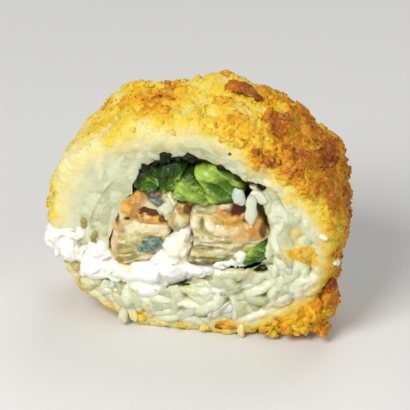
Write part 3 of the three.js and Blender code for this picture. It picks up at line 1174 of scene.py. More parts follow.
@dataclass
class FriedRiceRing:
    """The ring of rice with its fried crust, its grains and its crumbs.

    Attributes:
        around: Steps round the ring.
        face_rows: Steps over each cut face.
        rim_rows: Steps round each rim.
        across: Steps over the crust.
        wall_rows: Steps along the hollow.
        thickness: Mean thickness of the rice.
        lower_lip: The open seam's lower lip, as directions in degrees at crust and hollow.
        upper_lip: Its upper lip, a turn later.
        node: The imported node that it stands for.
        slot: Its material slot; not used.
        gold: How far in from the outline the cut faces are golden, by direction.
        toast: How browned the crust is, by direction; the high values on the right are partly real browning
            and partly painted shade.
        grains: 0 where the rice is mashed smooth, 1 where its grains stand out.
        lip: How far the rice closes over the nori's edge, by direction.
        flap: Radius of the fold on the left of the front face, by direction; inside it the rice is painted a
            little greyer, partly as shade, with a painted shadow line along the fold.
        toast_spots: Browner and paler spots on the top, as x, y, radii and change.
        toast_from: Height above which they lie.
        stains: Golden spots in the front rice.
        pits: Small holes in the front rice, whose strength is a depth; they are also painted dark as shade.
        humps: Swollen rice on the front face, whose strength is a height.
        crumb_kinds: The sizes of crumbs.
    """

    around: int = 600
    face_rows: int = 50
    rim_rows: int = 10
    across: int = 40
    wall_rows: int = 5
    thickness: float = 11.5
    lower_lip: tuple[float, float] = (204.0, 216.0)
    upper_lip: tuple[float, float] = (547.0, 560.0)
    node: str = "fried_rice_ring"
    slot: str = "fried_rice"
    gold: Pairs = (
        (0, 2.1), (10, 2.4), (20, 3.8), (30, 5), (42, 5), (50, 5.8), (60, 4.6), (70, 4), (80, 3),
        (90, 2.2), (100, 3), (110, 2.2), (120, 1.8), (140, 2.5), (155, 2.2), (170, 2.8), (180, 3),
        (187, 1.2), (205, 1), (212, 2), (222, 1), (231, 2.4), (238, 1), (246, 2), (256, 0.9),
        (266, 1.9), (275, 1), (284, 2.2), (292, 2.6), (303, 1.6), (312, 2.8), (324, 2.2), (332, 1.2),
        (350, 1.5), (360, 2.1),
    )
    # Browner on the right: partly real browning and partly painted shade on the side away from the light.
    toast: Pairs = (
        (0, 0.64), (15, 0.66), (30, 0.68), (46, 0.7), (56, 0.52), (68, 0.36), (80, 0.32), (92, 0.26),
        (105, 0.32), (118, 0.36), (132, 0.28), (150, 0.18), (180, 0.16), (200, 0.2), (215, 0.36),
        (235, 0.42), (250, 0.36), (270, 0.44), (290, 0.4), (320, 0.48), (332, 0.6), (345, 0.64),
        (360, 0.64),
    )
    grains: Pairs = (
        (0, 0.7), (20, 0.6), (40, 0.36), (65, 0.2), (90, 0.15), (120, 0.14), (150, 0.14), (180, 0.2),
        (200, 0.5), (216, 0.85), (270, 1), (322, 1), (345, 0.85), (360, 0.7),
    )
    lip: Pairs = (
        (0, 0.9), (30, 0.7), (60, 0.4), (128, 0.3), (136, 1), (143, 1.6), (150, 2.5), (157, 2.1),
        (180, 2.1), (200, 1.4), (216, 0.9), (240, 1.5), (265, 1.7), (300, 1.5), (330, 1.2), (360, 0.9),
    )
    flap: Pairs = (
        (132, 13), (140, 14.8), (150, 15.8), (162, 16.3), (173, 17.1), (182, 17.9), (194, 17),
    )
    toast_spots: Spots = (
        (-8, -3.5, 2.6, 4.5, 0.27), (-3.8, -4, 2, 4, 0.3), (-7, 4, 3, 3, 0.24), (1.5, 2, 3.6, 5, -0.08),
        (11, 2.6, 2.6, 3.6, 0.2), (15.5, -3, 3, 5, 0.14),
    )
    toast_from: float = 28.0
    stains: Spots = (
        (20, 18, 2.6, 2.1, 1, -20), (22.4, 16.8, 1.5, 1.1, 0.9), (19.3, 22.1, 1, 1, 0.7),
        (18, 28.8, 1.2, 1.1, 0.8), (-9.4, 2.4, 1.6, 1.2, 0.9), (6.6, 2.6, 2.4, 0.8, 0.9),
        (12, 36.6, 1.4, 1, 0.6, 20), (-18.5, 10.4, 2.2, 1.8, 0.5, 30), (10.2, 31.6, 1.2, 0.7, 0.6),
        (-18.3, 3.8, 1.6, 1, 0.9, -40),
    )
    pits: Spots = (
        (12.7, 30.4, 0.8, 0.8, 1.6), (11.2, 30.7, 1.2, 0.4, 0.7, -12), (12.6, 14.2, 1.1, 0.7, 1.1),
        (21.5, 8.9, 1, 0.6, 1.1, -20), (18, 5, 0.7, 0.8), (7.4, 36.2, 0.3, 0.3, 1.1),
        (10.9, 36, 0.25, 0.25, 0.9), (6.3, 8.6, 0.5, 0.35, 0.7), (-13.6, 9.2, 2.2, 0.5, 0.7, 4),
        (-0.6, 10, 3.4, 0.6, 0.34, 14), (3.4, 11.4, 1.6, 0.4, 0.34, 10),
    )
    humps: Spots = (
        (14.6, 25.2, 1.9, 2.3, 0.6), (-19.6, 7.6, 2.6, 1.8, 0.6, -40), (-12, 5.6, 3.4, 2, 0.7, -12),
        (2.5, 6.4, 4, 2.4, 0.5), (12.6, 9.6, 3.2, 2.6, 0.6, 20), (19.6, 11.6, 2.8, 2.6, 0.5, 40),
        (14.6, 31, 2.4, 1, 0.4, -10),
    )
    crumb_kinds: tuple[CrumbKind, ...] = (
        CrumbKind("crust_flakes", 340, 1.2, 3.1, 11, 0.4),
        CrumbKind("crust_crumbs", 2600, 0.45, 1.2, 12, 0.25),
    )

    def section(self) -> RingSection:
        """Lays out the steps round the section.

        Returns:
            The steps.
        """
        half, rim = FORM.half_depth, FORM.rim
        face = np.linspace(1, 0, self.face_rows)
        bend = np.linspace(0, np.pi / 2, self.rim_rows + 2)[1:-1]
        run = np.linspace(rim - half, half - rim, self.across)
        wall = np.linspace(half, -half, self.wall_rows + 2)[1:-1]
        flat, none = np.zeros(self.face_rows), np.zeros(self.rim_rows)
        rest = np.zeros(self.across)
        depth = np.concatenate([face, none, rest, none, face[::-1], wall * 0 + 1])
        turn = np.concatenate([flat, bend, rest + np.pi / 2, bend[::-1], flat, wall * 0])
        edge = half - rim + rim * np.cos(np.concatenate([flat, bend]))
        along = np.concatenate([-edge, run, edge[::-1], wall])
        side = np.concatenate([edge * 0 - 1, np.sign(run), edge * 0 + 1, wall * 0])
        inside = np.concatenate([np.zeros(len(along) - len(wall)), wall * 0 + 1]) > 0
        return RingSection(depth, turn, along, side, inside)

    def rice_relief(self, points: Array, angle: Array, radius: Array, side: int) -> tuple[Array, Array]:
        """Relief of one cut face of rice.

        Args:
            points: Places on the smooth face.
            angle: Their directions.
            radius: Their distances from the middle.
            side: -1 for the front face, 1 for the back.

        Returns:
            Height in millimetres, and the tone of the rice from 0 to 1, with painted shade between the
            grains, towards the top, partly in the fold and in the pits.
        """
        grainy = by_angle(self.grains, angle)
        grainy = np.maximum(grainy, 0.55 if side > 0 else 0.0)
        grainy = np.clip(grainy + 0.25 * soft_noise(points, 6.0, 21.0), 0.06, 1)
        height, tone = GrainBed.scattered(6 + side).relief(points)
        height = grainy * (height - 0.35 + 0.35 * rough_noise(points, 4.5, 2, 33.0))
        height = height + (0.06 + 0.06 * grainy) * rough_noise(points, 0.9, 3, 8.0)
        # The tone falls where the relief is low: painted shade between the grains.
        tone = 0.56 + (tone - 0.5) * (0.2 + 0.4 * grainy) + 0.5 * np.minimum(height, 0.1)
        # Darker towards the top of the faces: painted shade.
        tone = np.maximum(tone - 0.16 * ease(29.0, 37.0, points[..., 2]), 0.09)
        if side < 0:
            degrees = np.degrees(angle) % 360
            flap = by_angle(self.flap, angle)
            fold = ease(0.25, -0.25, radius - flap) * ease(142, 156, degrees) * ease(206, 190, degrees)
            crease = fold * ease(-0.9, -0.2, radius - flap) * ease(-0.5, 0.4, soft_noise(points, 3.0, 4.0))
            height = height - 0.2 * fold - 0.16 * crease + domed(self.humps, points)
            # The fold's strip is painted a little greyer, partly its own colour and partly painted shade,
            # and its crease is a painted shadow line.
            tone = tone - 0.07 * fold - 0.08 * crease
            hole = covered(self.pits, points)
            height = height - hole
            # The pits are painted dark: painted shade inside them.
            tone = tone - 0.9 * np.minimum(hole, 1)
        return height, tone

    def browned(self, rows: Array, toast: Array, crumbs: Array, token: Array) -> Array:
        """Browning of the crust, with spots on the top and darker high crumbs.

        Args:
            rows: Places on the smooth crust.
            toast: Its browning by direction.
            crumbs: Height of the crumbs there.
            token: A number from 0 to 1 that differs from crumb to crumb.

        Returns:
            The browning, from about 0 to 1.
        """
        for x, y, wide, long, change in self.toast_spots:
            gap = np.hypot((rows[..., 0] - x) / wide, (rows[..., 1] - y) / long)
            gap = gap + 0.3 * soft_noise(rows, 2.5, x)
            toast = toast + change * ease(1.3, 0.5, gap) * (rows[..., 2] > self.toast_from)
        toast = toast + 0.2 * rough_noise(rows, 4.4, 3, 51.0) + 0.28 * (token - 0.5)
        return toast + 0.14 * crumbs

    def skin(self) -> RingSkin:
        """Works out the ring as a grid: shares round the ring by steps round its section.

        The radius runs from the outline to the hollow with the depth, and the batter's
        thickness is added in the measure in which the section faces outwards.

        Returns:
            The grid.
        """
        form, step = FORM, self.section()
        share = np.linspace(0, 1, self.around)[:, None]
        inset = form.rim * (1 - np.sin(step.turn))
        cut = inset / self.thickness
        deep = cut + step.depth * (1 - cut)
        start, end = (a + (b - a) * deep for a, b in (self.lower_lip, self.upper_lip))
        angle = np.radians(start + (end - start) * share)
        outer = form.outline(angle)
        hollow = form.hollow_radius(angle)
        edge = form.place(angle, hollow, step.side * form.half_depth + 0 * angle)
        lip = by_angle(self.lip, angle) + 0.3 * rough_noise(edge, 2.6, 2, 71.0)
        inner = hollow + form.wrap - np.where(step.wall, 0.0, lip)
        radius = outer - inset - step.depth * (outer - form.rim - inner)
        on_crust = np.isclose(step.turn, np.pi / 2)
        from_rim = form.half_depth - form.rim - np.abs(step.along)
        inwards = outer - radius - np.where(on_crust, 0.7 * from_rim, 0)
        thick = form.batter(angle, step.along + 0 * angle)
        radius = radius + thick * np.sin(step.turn)
        bulge = 0.5 * np.sin(np.pi * step.depth) * step.side
        rows = form.place(angle, radius, step.along + bulge + 0 * angle)
        normals = grid_normals(rows)
        out = rows - form.place(angle, (outer + inner) / 2, 0 * angle)
        if np.einsum("ijk,ijk->", normals, out) < 0:
            normals = -normals
        gold = by_angle(self.gold, angle)
        ragged = 0.9 * rough_noise(rows, 2.8, 3, 31.0)
        crust = ease(gold + 1.8, gold - 1.2, inwards + ragged)
        crumbs, token = crumb_relief(rows)
        rice, tone = np.zeros_like(angle), np.full_like(angle, 0.5)
        for side in (-1, 1):
            face = (step.side == side) & ~on_crust
            places = rows[:, face], angle[:, face], radius[:, face]
            rice[:, face], tone[:, face] = self.rice_relief(*places, side)
        toast = by_angle(self.toast, angle)
        cover = ease(-0.6, 2.6, gold - inwards) * (0.75 + 0.25 * ease(0.1, 0.35, toast))
        height = np.where(step.wall, 0.0, crust * (crumbs + 0.25) * cover + (1 - crust) * rice)
        toast = self.browned(rows, toast, crumbs, token) - 0.34 * ease(gold - 3.2, gold + 0.6, inwards)
        toast = np.minimum(toast, 0.72 + 0.5 * (toast - 0.72))
        stain = 0.5 * ease(gold + 3.0, gold - 0.5, inwards) + 0.15 * rough_noise(rows, 3.0, 2, 61.0)
        spots = covered(self.stains, rows) * (step.side < 0)
        masks = {
            "crust": np.maximum(crust, 0.9 * ease(0.6, 0.95, spots)),
            "toast": np.clip(np.maximum(toast, 0.54 * spots), 0, 1),
            "stain": np.clip(np.maximum(stain, spots), 0, 1),
            "tone": np.clip(tone, 0, 1),
        }
        return RingSkin(rows + normals * height[..., None], normals, masks)

    def proud_grains(self, side: int, seed: int) -> Surface:
        """Lays loose grains half sunk in the grainy parts of one cut face.

        None lies at the seam, or on the golden stain at the right of the front face.

        Args:
            side: -1 for the front face, 1 for the back.
            seed: Start of the random draws.

        Returns:
            The grains as one surface.
        """
        form, draw = FORM, np.random.default_rng(seed)
        tries = 260
        angle = np.radians(draw.uniform(0, 360, tries))
        inner, outer = form.hollow_radius(angle) + 2.6, form.outline(angle) - 3.6
        radius = inner + (outer - inner) * draw.random(tries)
        grainy = by_angle(self.grains, angle)
        degrees = np.degrees(angle)
        keep = (draw.random(tries) < 0.3 * (grainy - 0.35)) & ((degrees < 186) | (degrees > 216))
        keep &= (side > 0) | (np.abs(np.cos(angle) * radius - 20.4) > 3.5) | (np.abs(degrees - 351) > 11)
        angle, radius = angle[keep], radius[keep]
        count = len(angle)
        centres = form.place(angle, radius, np.full(count, side * (form.half_depth - 0.15)))
        lie = angle + draw.normal(0, 0.7, count)
        frames = on_face(side, -lie, draw.normal(0, 0.22, count))
        unit = rice_kernel()
        spans = ((1.6, 2), (1.5, 1.8), (4.4, 5.8))
        sizes = np.stack([draw.uniform(least, most, count) for least, most in spans], axis=-1)
        surface = copies(unit, unit.points[None] * sizes[:, None, :], frames, centres)
        surface.points += 0.14 * soft_noise(surface.points, 1.3)[:, None]
        where, far = form.polar(surface.above(FLOOR_GAP).points)
        stain = ease(5.5, 1.5, form.outline(where) - far) * 0.6
        tone, cool = draw.uniform(0.45, 0.85, count), 0.35 * (draw.random(count) < 0.3)
        size = len(unit.points)
        surface.masks = {"stain": stain, "tone": np.repeat(tone, size), "cool": np.repeat(cool, size)}
        return surface

    def crumbs(self, skin: RingSkin, kind: CrumbKind) -> Surface:
        """Presses crumbs into the crust: blunt chips pulled out of shape, flattened and turned.

        Args:
            skin: The ring's grid, which gives their places.
            kind: Their number and sizes.

        Returns:
            The crumbs as one surface.
        """
        draw = np.random.default_rng(kind.seed)
        crust, toast = skin.masks["crust"], skin.masks["toast"]
        chance = ease(0.8, 1.0, crust) * (0.3 + ease(0.15, 0.7, toast))
        chance = chance * np.linalg.norm(np.gradient(skin.points, axis=1), axis=-1)
        chance[:, -self.wall_rows - 1 :] = 0
        chance[:3] = 0
        chance[-3:] = 0
        picked = draw.choice(chance.size, kind.count, replace=False, p=chance.ravel() / chance.sum())
        centres = skin.points.reshape(-1, 3)[picked]
        normals = skin.normals.reshape(-1, 3)[picked]
        frames = turned_frames(normals, draw.normal(size=(kind.count, 3)), draw.normal(0, 0.35, kind.count))
        unit = rice_kernel(4, 8)
        long = kind.small + (kind.large - kind.small) * draw.random(kind.count) ** 2
        wide = long * draw.uniform(0.5, 0.9, kind.count)
        size = np.stack([wide, long * draw.uniform(0.3, 0.55, kind.count), long], axis=-1)
        ways = unit.points[None] * 2 + draw.uniform(0, 60, (kind.count, 1, 3))
        pull = 1 + 0.5 * soft_noise(ways, 0.9) + 0.34 * soft_noise(ways, 0.4, 3.0)
        shapes = unit.points[None] * pull[..., None] * size[:, None, :]
        own = toast.ravel()[picked] + draw.normal(0.02, 0.08, kind.count)
        clear = centres[:, 2] > kind.clear
        places = (centres - normals * size[:, 1:2] * kind.sunk)[clear]
        surface = copies(unit, shapes[clear], frames[clear], places).above(FLOOR_GAP)
        tips = (np.linalg.norm(shapes, axis=-1) / long[:, None])[clear]
        surface.masks = {
            "toast": np.clip((own[clear, None] + 0.2 * (tips - 0.32)).ravel(), 0, 1),
            "crust": np.repeat(crust.ravel()[picked[clear]] ** 2, len(unit.points)),
            "stain": np.ones(len(surface.points)),
            "tone": np.full(len(surface.points), 0.5),
        }
        return surface

    def build(self) -> None:
        """Makes the ring's pieces. The grid is closed with a cap on each lip of the seam."""
        crust, rice, skin = CRUST.build(), RICE.build(), self.skin()
        body = capped_tube(skin.points, skin.masks).above(0.0)
        make_piece("fried_rice_body", body, crust, self.node)
        for name, side, seed in (("rice_grains_front", -1, 4), ("rice_grains_back", 1, 5)):
            make_piece(name, self.proud_grains(side, seed), rice, self.node)
        for kind in self.crumb_kinds:
            make_piece(kind.name, self.crumbs(skin, kind), crust, self.node, faceted=True)


# Nori


@dataclass
class NoriSheet:
    """The wrinkled sheet round the fillings, with ragged cut edges.

    Attributes:
        thickness: Of the sheet.
        start: Direction of its lower edge at the seam, in degrees.
        end: Direction of its upper edge, a turn later.
        around: Steps round it.
        across: Steps from one cut edge to the other.
        node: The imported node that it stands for.
        reach: How far its edge stands out of the cut faces, by direction.
        sag: How far it sags on the fillings between the faces, by direction.
        crumples: Where its edge is bent out over the rice: x, z, half width, how far it
            stands out of the face, and how far it bends away from the fillings.
    """

    thickness: float = 0.42
    start: float = 217.0
    end: float = 556.0
    around: int = 460
    across: int = 26
    node: str = "nori_sheet"
    reach: Pairs = (
        (0, -1.6), (30, -1.2), (44, -0.3), (60, 0), (100, 0.1), (130, 0.2), (145, -0.4), (160, -2),
        (215, -2.2), (250, -1.4), (262, -0.3), (290, -0.2), (325, -0.5), (340, -1.6), (360, -1.6),
    )
    sag: Pairs = (
        (0, 0.6), (12, 1.5), (30, 3), (40, 1.9), (50, 0.5), (78, 0.5), (90, 1.8), (100, 0.5),
        (138, 0.4), (150, 1.6), (162, 0.6), (210, 0.8), (225, 0), (340, 0.2), (360, 0.6),
    )
    crumples: Spots = (
        (-7.3, 31.6, 0.85, 0.2, 0.6), (-5.4, 32.5, 0.6, 0.1, 0.4), (-3.7, 33.3, 1.1, 0.3, 0.9),
        (-1.6, 33.4, 0.5, 0.1, 0.2), (0.4, 33.3, 1, 0.2, 0.8), (5.6, 32.9, 0.6, 0.1, 0.3),
        (8.4, 31.3, 0.8, 0, 0.1),
    )

    def lump(self, fold: Spot, side: int) -> Surface:
        """Builds a place where the edge is crumpled up: a ball pulled into folds by a noise.

        Args:
            fold: The numbers of the place.
            side: -1 for the front face, 1 for the back.

        Returns:
            The lump.
        """
        ball = crumb_ball(4)
        x, z, width, reach, curl = fold
        turn, _ = FORM.polar(np.array([[x, 0.0, z]]))
        centre = FORM.place(turn, FORM.hollow_radius(turn) + 0.7 * curl, side * (FORM.half_depth + reach))
        far = ball.points * [1.9, 1.6, 1.6] * width
        ways = far + np.array([3 * x, 9.0 * side, 0.0])
        far *= 1 + 0.5 * soft_noise(ways, 0.9)[:, None] + 0.4 * soft_noise(ways, 0.45)[:, None]
        return Surface(far + centre, ball.faces)

    def surface(self) -> Surface:
        """Works out the sheet as rows round the hollow by steps round its thin section.

        Returns:
            The sheet with its lumps.
        """
        form = FORM
        angle = np.radians(np.linspace(self.start, self.end, self.around))[:, None]
        runs = np.sin(np.linspace(-np.pi / 2, np.pi / 2, self.across))
        along = np.concatenate([runs, runs[::-1]])[None, :]
        outer = np.repeat([1.0, 0.0], self.across)[None, :]
        hollow = form.hollow_radius(angle)
        base = form.place(angle, hollow, along * form.half_depth)
        lip = form.place(angle, hollow, np.sign(along) * 12.0)
        reach, sag = by_angle(self.reach, angle), by_angle(self.sag, angle)
        free = ease(-0.6, 0.2, reach)
        reach = reach + (0.12 + 0.2 * free) * rough_noise(lip, 1.6, 2, 4.0)
        curl = 0.25 * free * rough_noise(lip, 1.6, 2, 12.0)
        thick = self.thickness * (1 + 0.6 * free * rough_noise(lip, 0.9, 2, 31.0))
        for x, z, width, _, bend in self.crumples:
            turn, _ = form.polar(np.array([x, 0.0, z]))
            gap = np.arctan2(np.sin(angle - turn), np.cos(angle - turn)) * hollow / width
            bell = np.exp(-(gap**4)) * (1 + 0.45 * soft_noise(lip, 0.7, 3.0))
            curl = curl + 0.5 * bend * bell
        rim = np.abs(along)
        wrinkle = 0.2 * rough_noise(base, 2.2, 3, 6.0)
        radius = hollow + (thick * rim**8 + self.thickness * (1 - rim**8)) * outer
        radius = radius + wrinkle + curl * rim**12 - sag * (1 - rim**6)
        rows = form.place(angle, radius, along * (form.half_depth + reach))
        lumps = [self.lump(fold, side) for fold in self.crumples for side in (-1, 1)]
        return joined([capped_tube(rows), *lumps])

    def build(self) -> None:
        """Makes the piece."""
        make_piece("nori_wrap", self.surface(), NORI.build(), self.node)


# Fillings


@dataclass
class Strip:
    """A filling that runs through the slice.

    Attributes:
        node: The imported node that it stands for.
        outline: Its outline on the cut face, as x, z points.
        front: How far it stands out of the front face.
        back: How far it stands out of the back face.
        steps: Points round it.
        rings: Rings of points on each cut end.
        round_edge: Share of each cut end that bends over to its side.
        slope: How much further out its ends stand for each millimetre across and up.
        domes: Swollen spots of its ends, whose strength is a height.
    """

    node: str
    outline: Pairs
    front: float
    back: float
    steps: int = 90
    rings: int = 22
    round_edge: float = 0.12
    slope: tuple[float, float] = (0.0, 0.0)
    domes: Spots = ()

    def middle(self) -> Array:
        """Middle of its outline, as x, z."""
        return closed_curve(self.outline, self.steps).mean(axis=0)

    def grid(self) -> tuple[Array, Array, Array]:
        """Works out the strip's smooth form.

        Rings grow from the middle of the front end to its edge, rows then run back along the
        side, and rings shrink to the middle of the back end.

        Returns:
            The points, the share from middle to edge, and -1, 0 or 1 for front, side or back.
        """
        loop = closed_curve(self.outline, self.steps)
        centre = self.middle()
        half = FORM.half_depth
        ring = np.linspace(0.03, 1, self.rings)
        runs = np.linspace(-1, 1, 16)[1:-1]
        over = np.clip((ring - 1 + self.round_edge) / self.round_edge, 0, 1)
        drop = 0.9 * (1 - np.sqrt(1 - over**2)) + 0.2 * ring**2
        front = -(half + self.front - drop)
        back = half + self.back - drop
        along = np.concatenate([front, runs * (half - 0.6), back[::-1]])
        grow = np.concatenate([ring, runs * 0 + 1, ring[::-1]])
        where = np.concatenate([ring * 0 - 1, runs * 0, ring * 0 + 1])
        swell = 0.18 + 0.4 * np.maximum(0, 1 - (along / half) ** 2)
        flat = centre + (loop - centre)[None] * grow[:, None, None]
        outward = loop - centre
        outward = outward / np.linalg.norm(outward, axis=1, keepdims=True)
        flat = flat + outward[None] * swell[:, None, None]
        deep = np.broadcast_to(along[:, None], flat.shape[:2])
        rows = np.stack([flat[..., 0], deep, flat[..., 1]], axis=-1)
        share = np.broadcast_to(grow[:, None], rows.shape[:2])
        ends = np.broadcast_to(where[:, None], rows.shape[:2])
        return rows, share, ends

    def raised(self, rows: Array, ends: Array, height: Array, waver: float) -> Array:
        """Adds relief: height, domes and slope along Y on the cut ends, a waver across.

        Args:
            rows: The smooth form.
            ends: -1, 0 or 1 for front, side or back.
            height: Relief in millimetres.
            waver: How far points sway across.

        Returns:
            The finished points.
        """
        sway = np.stack([soft_noise(rows, 2.6, 7.0), 0 * ends, soft_noise(rows, 2.6, 27.0)], axis=-1)
        x, z = self.middle()
        tilt = self.slope[0] * (rows[..., 0] - x) + self.slope[1] * (rows[..., 2] - z)
        lifted = rows + waver * sway
        lifted[..., 1] += ends * (height + domed(self.domes, rows) + tilt)
        return lifted


@dataclass
class CucumberStick(Strip):
    """A stick of cucumber with some of its peel.

    Attributes:
        peel_side: Direction in degrees in which its peel lies.
        peel_share: How much of its outline is peel, from 0 to 1.
        core_side: Direction of its palest flesh.
        light: How pale it is all over, from 0 to 1.
    """

    peel_side: float = 90.0
    peel_share: float = 0.3
    core_side: float = -90.0
    light: float = 0.2

    def surface(self) -> Surface:
        """Builds the stick: facets where the knife cut, and fibres from the peel to the core.

        The fibres are noise stretched along the direction of the core.

        Returns:
            The stick.
        """
        rows, share, ends = self.grid()
        side, seed = np.radians(self.core_side), self.outline[0][0]
        along = rows[..., 0] * np.cos(side) + rows[..., 2] * np.sin(side)
        across = rows[..., 2] * np.cos(side) - rows[..., 0] * np.sin(side)
        fibre = rough_noise(np.stack([across, 0.15 * rows[..., 1], 0.3 * along], axis=-1), 0.75, 3, seed)
        broad = rough_noise(rows, 2.0, 3, 4.0 + self.outline[0][1])
        cuts = crumb_cells(rows * [1.0, 0.5, 1.0], 1.9, seed)
        facet = cuts.chip * ease(0.0, 0.3, cuts.edge)
        height = 0.3 * broad + 0.3 * fibre + 0.75 * facet
        lifted = self.raised(rows, ends, height, 0.3)
        middle = self.middle()
        turn = np.arctan2(rows[..., 2] - middle[1], rows[..., 0] - middle[0])
        near = np.cos(turn - np.radians(self.peel_side)) * share
        peel = ease(1 - self.peel_share - 0.2, 1 - self.peel_share + 0.02, near + 0.1 * fibre + 0.08 * broad)
        pale = np.cos(turn - side) * share
        core = self.light + 0.4 * ease(0.2, 0.95, pale) + 0.62 * fibre + 0.4 * broad + 0.3 * facet
        return capped_tube(lifted, {"peel": 0.9 * peel, "core": np.clip(core, 0, 1)})


@dataclass
class EelStrip(Strip):
    """A strip of grilled eel: glazed top, flaky flesh and slate skin.

    Attributes:
        glaze: Spots of amber glaze.
        skin: Spots of skin.
        char: Darkest spots, partly charred glaze and partly painted shade by the glaze and between the
            flakes.
        pale: Spots of white flesh.
        olive: Spots of yellow-green fat.
        flake_lean: Direction of the flakes' lines in degrees.
        flake_top: Height above which the flakes hardly part.
    """

    glaze: Spots = ()
    skin: Spots = ()
    char: Spots = ()
    pale: Spots = ()
    olive: Spots = ()
    flake_lean: float = 10.0
    flake_top: float = 19.5
    steps: int = 150
    rings: int = 40
    round_edge: float = 0.2

    def surface(self) -> Surface:
        """Builds the strip, with rounded flakes and lumps under the glaze.

        Across a flake the height is one minus the distance from its middle to the power 3. The
        spots drift on their way through the slice, so the back face differs from the front.

        Returns:
            The strip.
        """
        rows, _, ends = self.grid()
        drift = np.stack([soft_noise(rows, 6.0, 3.0), 0 * ends, soft_noise(rows, 6.0, 39.0)], axis=-1)
        seen = rows + 2.4 * ease(-2.0, 9.0, rows[..., 1])[..., None] * drift
        lean = np.radians(self.flake_lean)
        level = rows[..., 2] * np.cos(lean) - rows[..., 0] * np.sin(lean)
        level = level / 1.7 + 0.7 * rough_noise(rows, 3.4, 3, 14.0)
        off = np.abs(2 * (level - np.floor(level)) - 1)
        masks = {
            name: covered(getattr(self, name), seen) for name in ("glaze", "skin", "char", "pale", "olive")
        }
        calm = (1 - 0.85 * masks["glaze"]) * (1 - 0.7 * masks["skin"])
        folds = crumb_cells(rows + 0.8 * rough_noise(rows, 1.6, 2, 5.0)[..., None], 2.3, 31.0)
        parted = ease(-0.3, 0.5, soft_noise(rows, 2.2, 44.0)) * calm
        parted = parted * (0.3 + 0.7 * ease(self.flake_top + 1.0, self.flake_top - 1.0, rows[..., 2]))
        fine = rough_noise(rows * [0.6, 1.0, 1.0], 0.9, 2, 19.0)
        sticky = masks["glaze"] * 0.5 * folds.chip * ease(0.0, 0.4, folds.edge)
        height = (0.2 - 0.4 * off**3) * parted + sticky
        height += 0.2 * rough_noise(rows, 2.0, 3, 3.0) + 0.12 * fine
        seams = ease(0.7, 1.0, off) * parted
        spread = 0.4 * masks["glaze"] * ease(0.1, 0.7, rough_noise(rows, 1.8, 2, 81.0))
        # Darker in the seams between flakes, which is painted shade in the creases, and in flecks over the
        # glaze.
        masks["char"] = np.clip(masks["char"] + 0.2 * seams + spread, 0, 1)
        shade = lattice_value(np.floor(level), 3.0, self.flake_lean) + 0.3 * soft_noise(rows, 1.5, 61.0)
        olive = np.maximum(0.5 * ease(0.6, 0.95, shade), 0.7 * seams)
        olive = calm * np.maximum(olive, 0.45 * ease(0.1, 0.6, -fine))
        pale = np.maximum(calm * ease(0.4, 0.1, shade), ease(0.1, 0.6, fine))
        masks["olive"] = np.maximum(masks["olive"], olive)
        masks["pale"] = np.maximum(masks["pale"], 0.6 * (1 - seams) * pale)
        for name in ("glaze", "pale"):
            masks[name] = masks[name] * (1 - 0.35 * ease(0.1, 0.7, -fine))
        return capped_tube(self.raised(rows, ends, height, 0.22), masks)


# Soft cheese


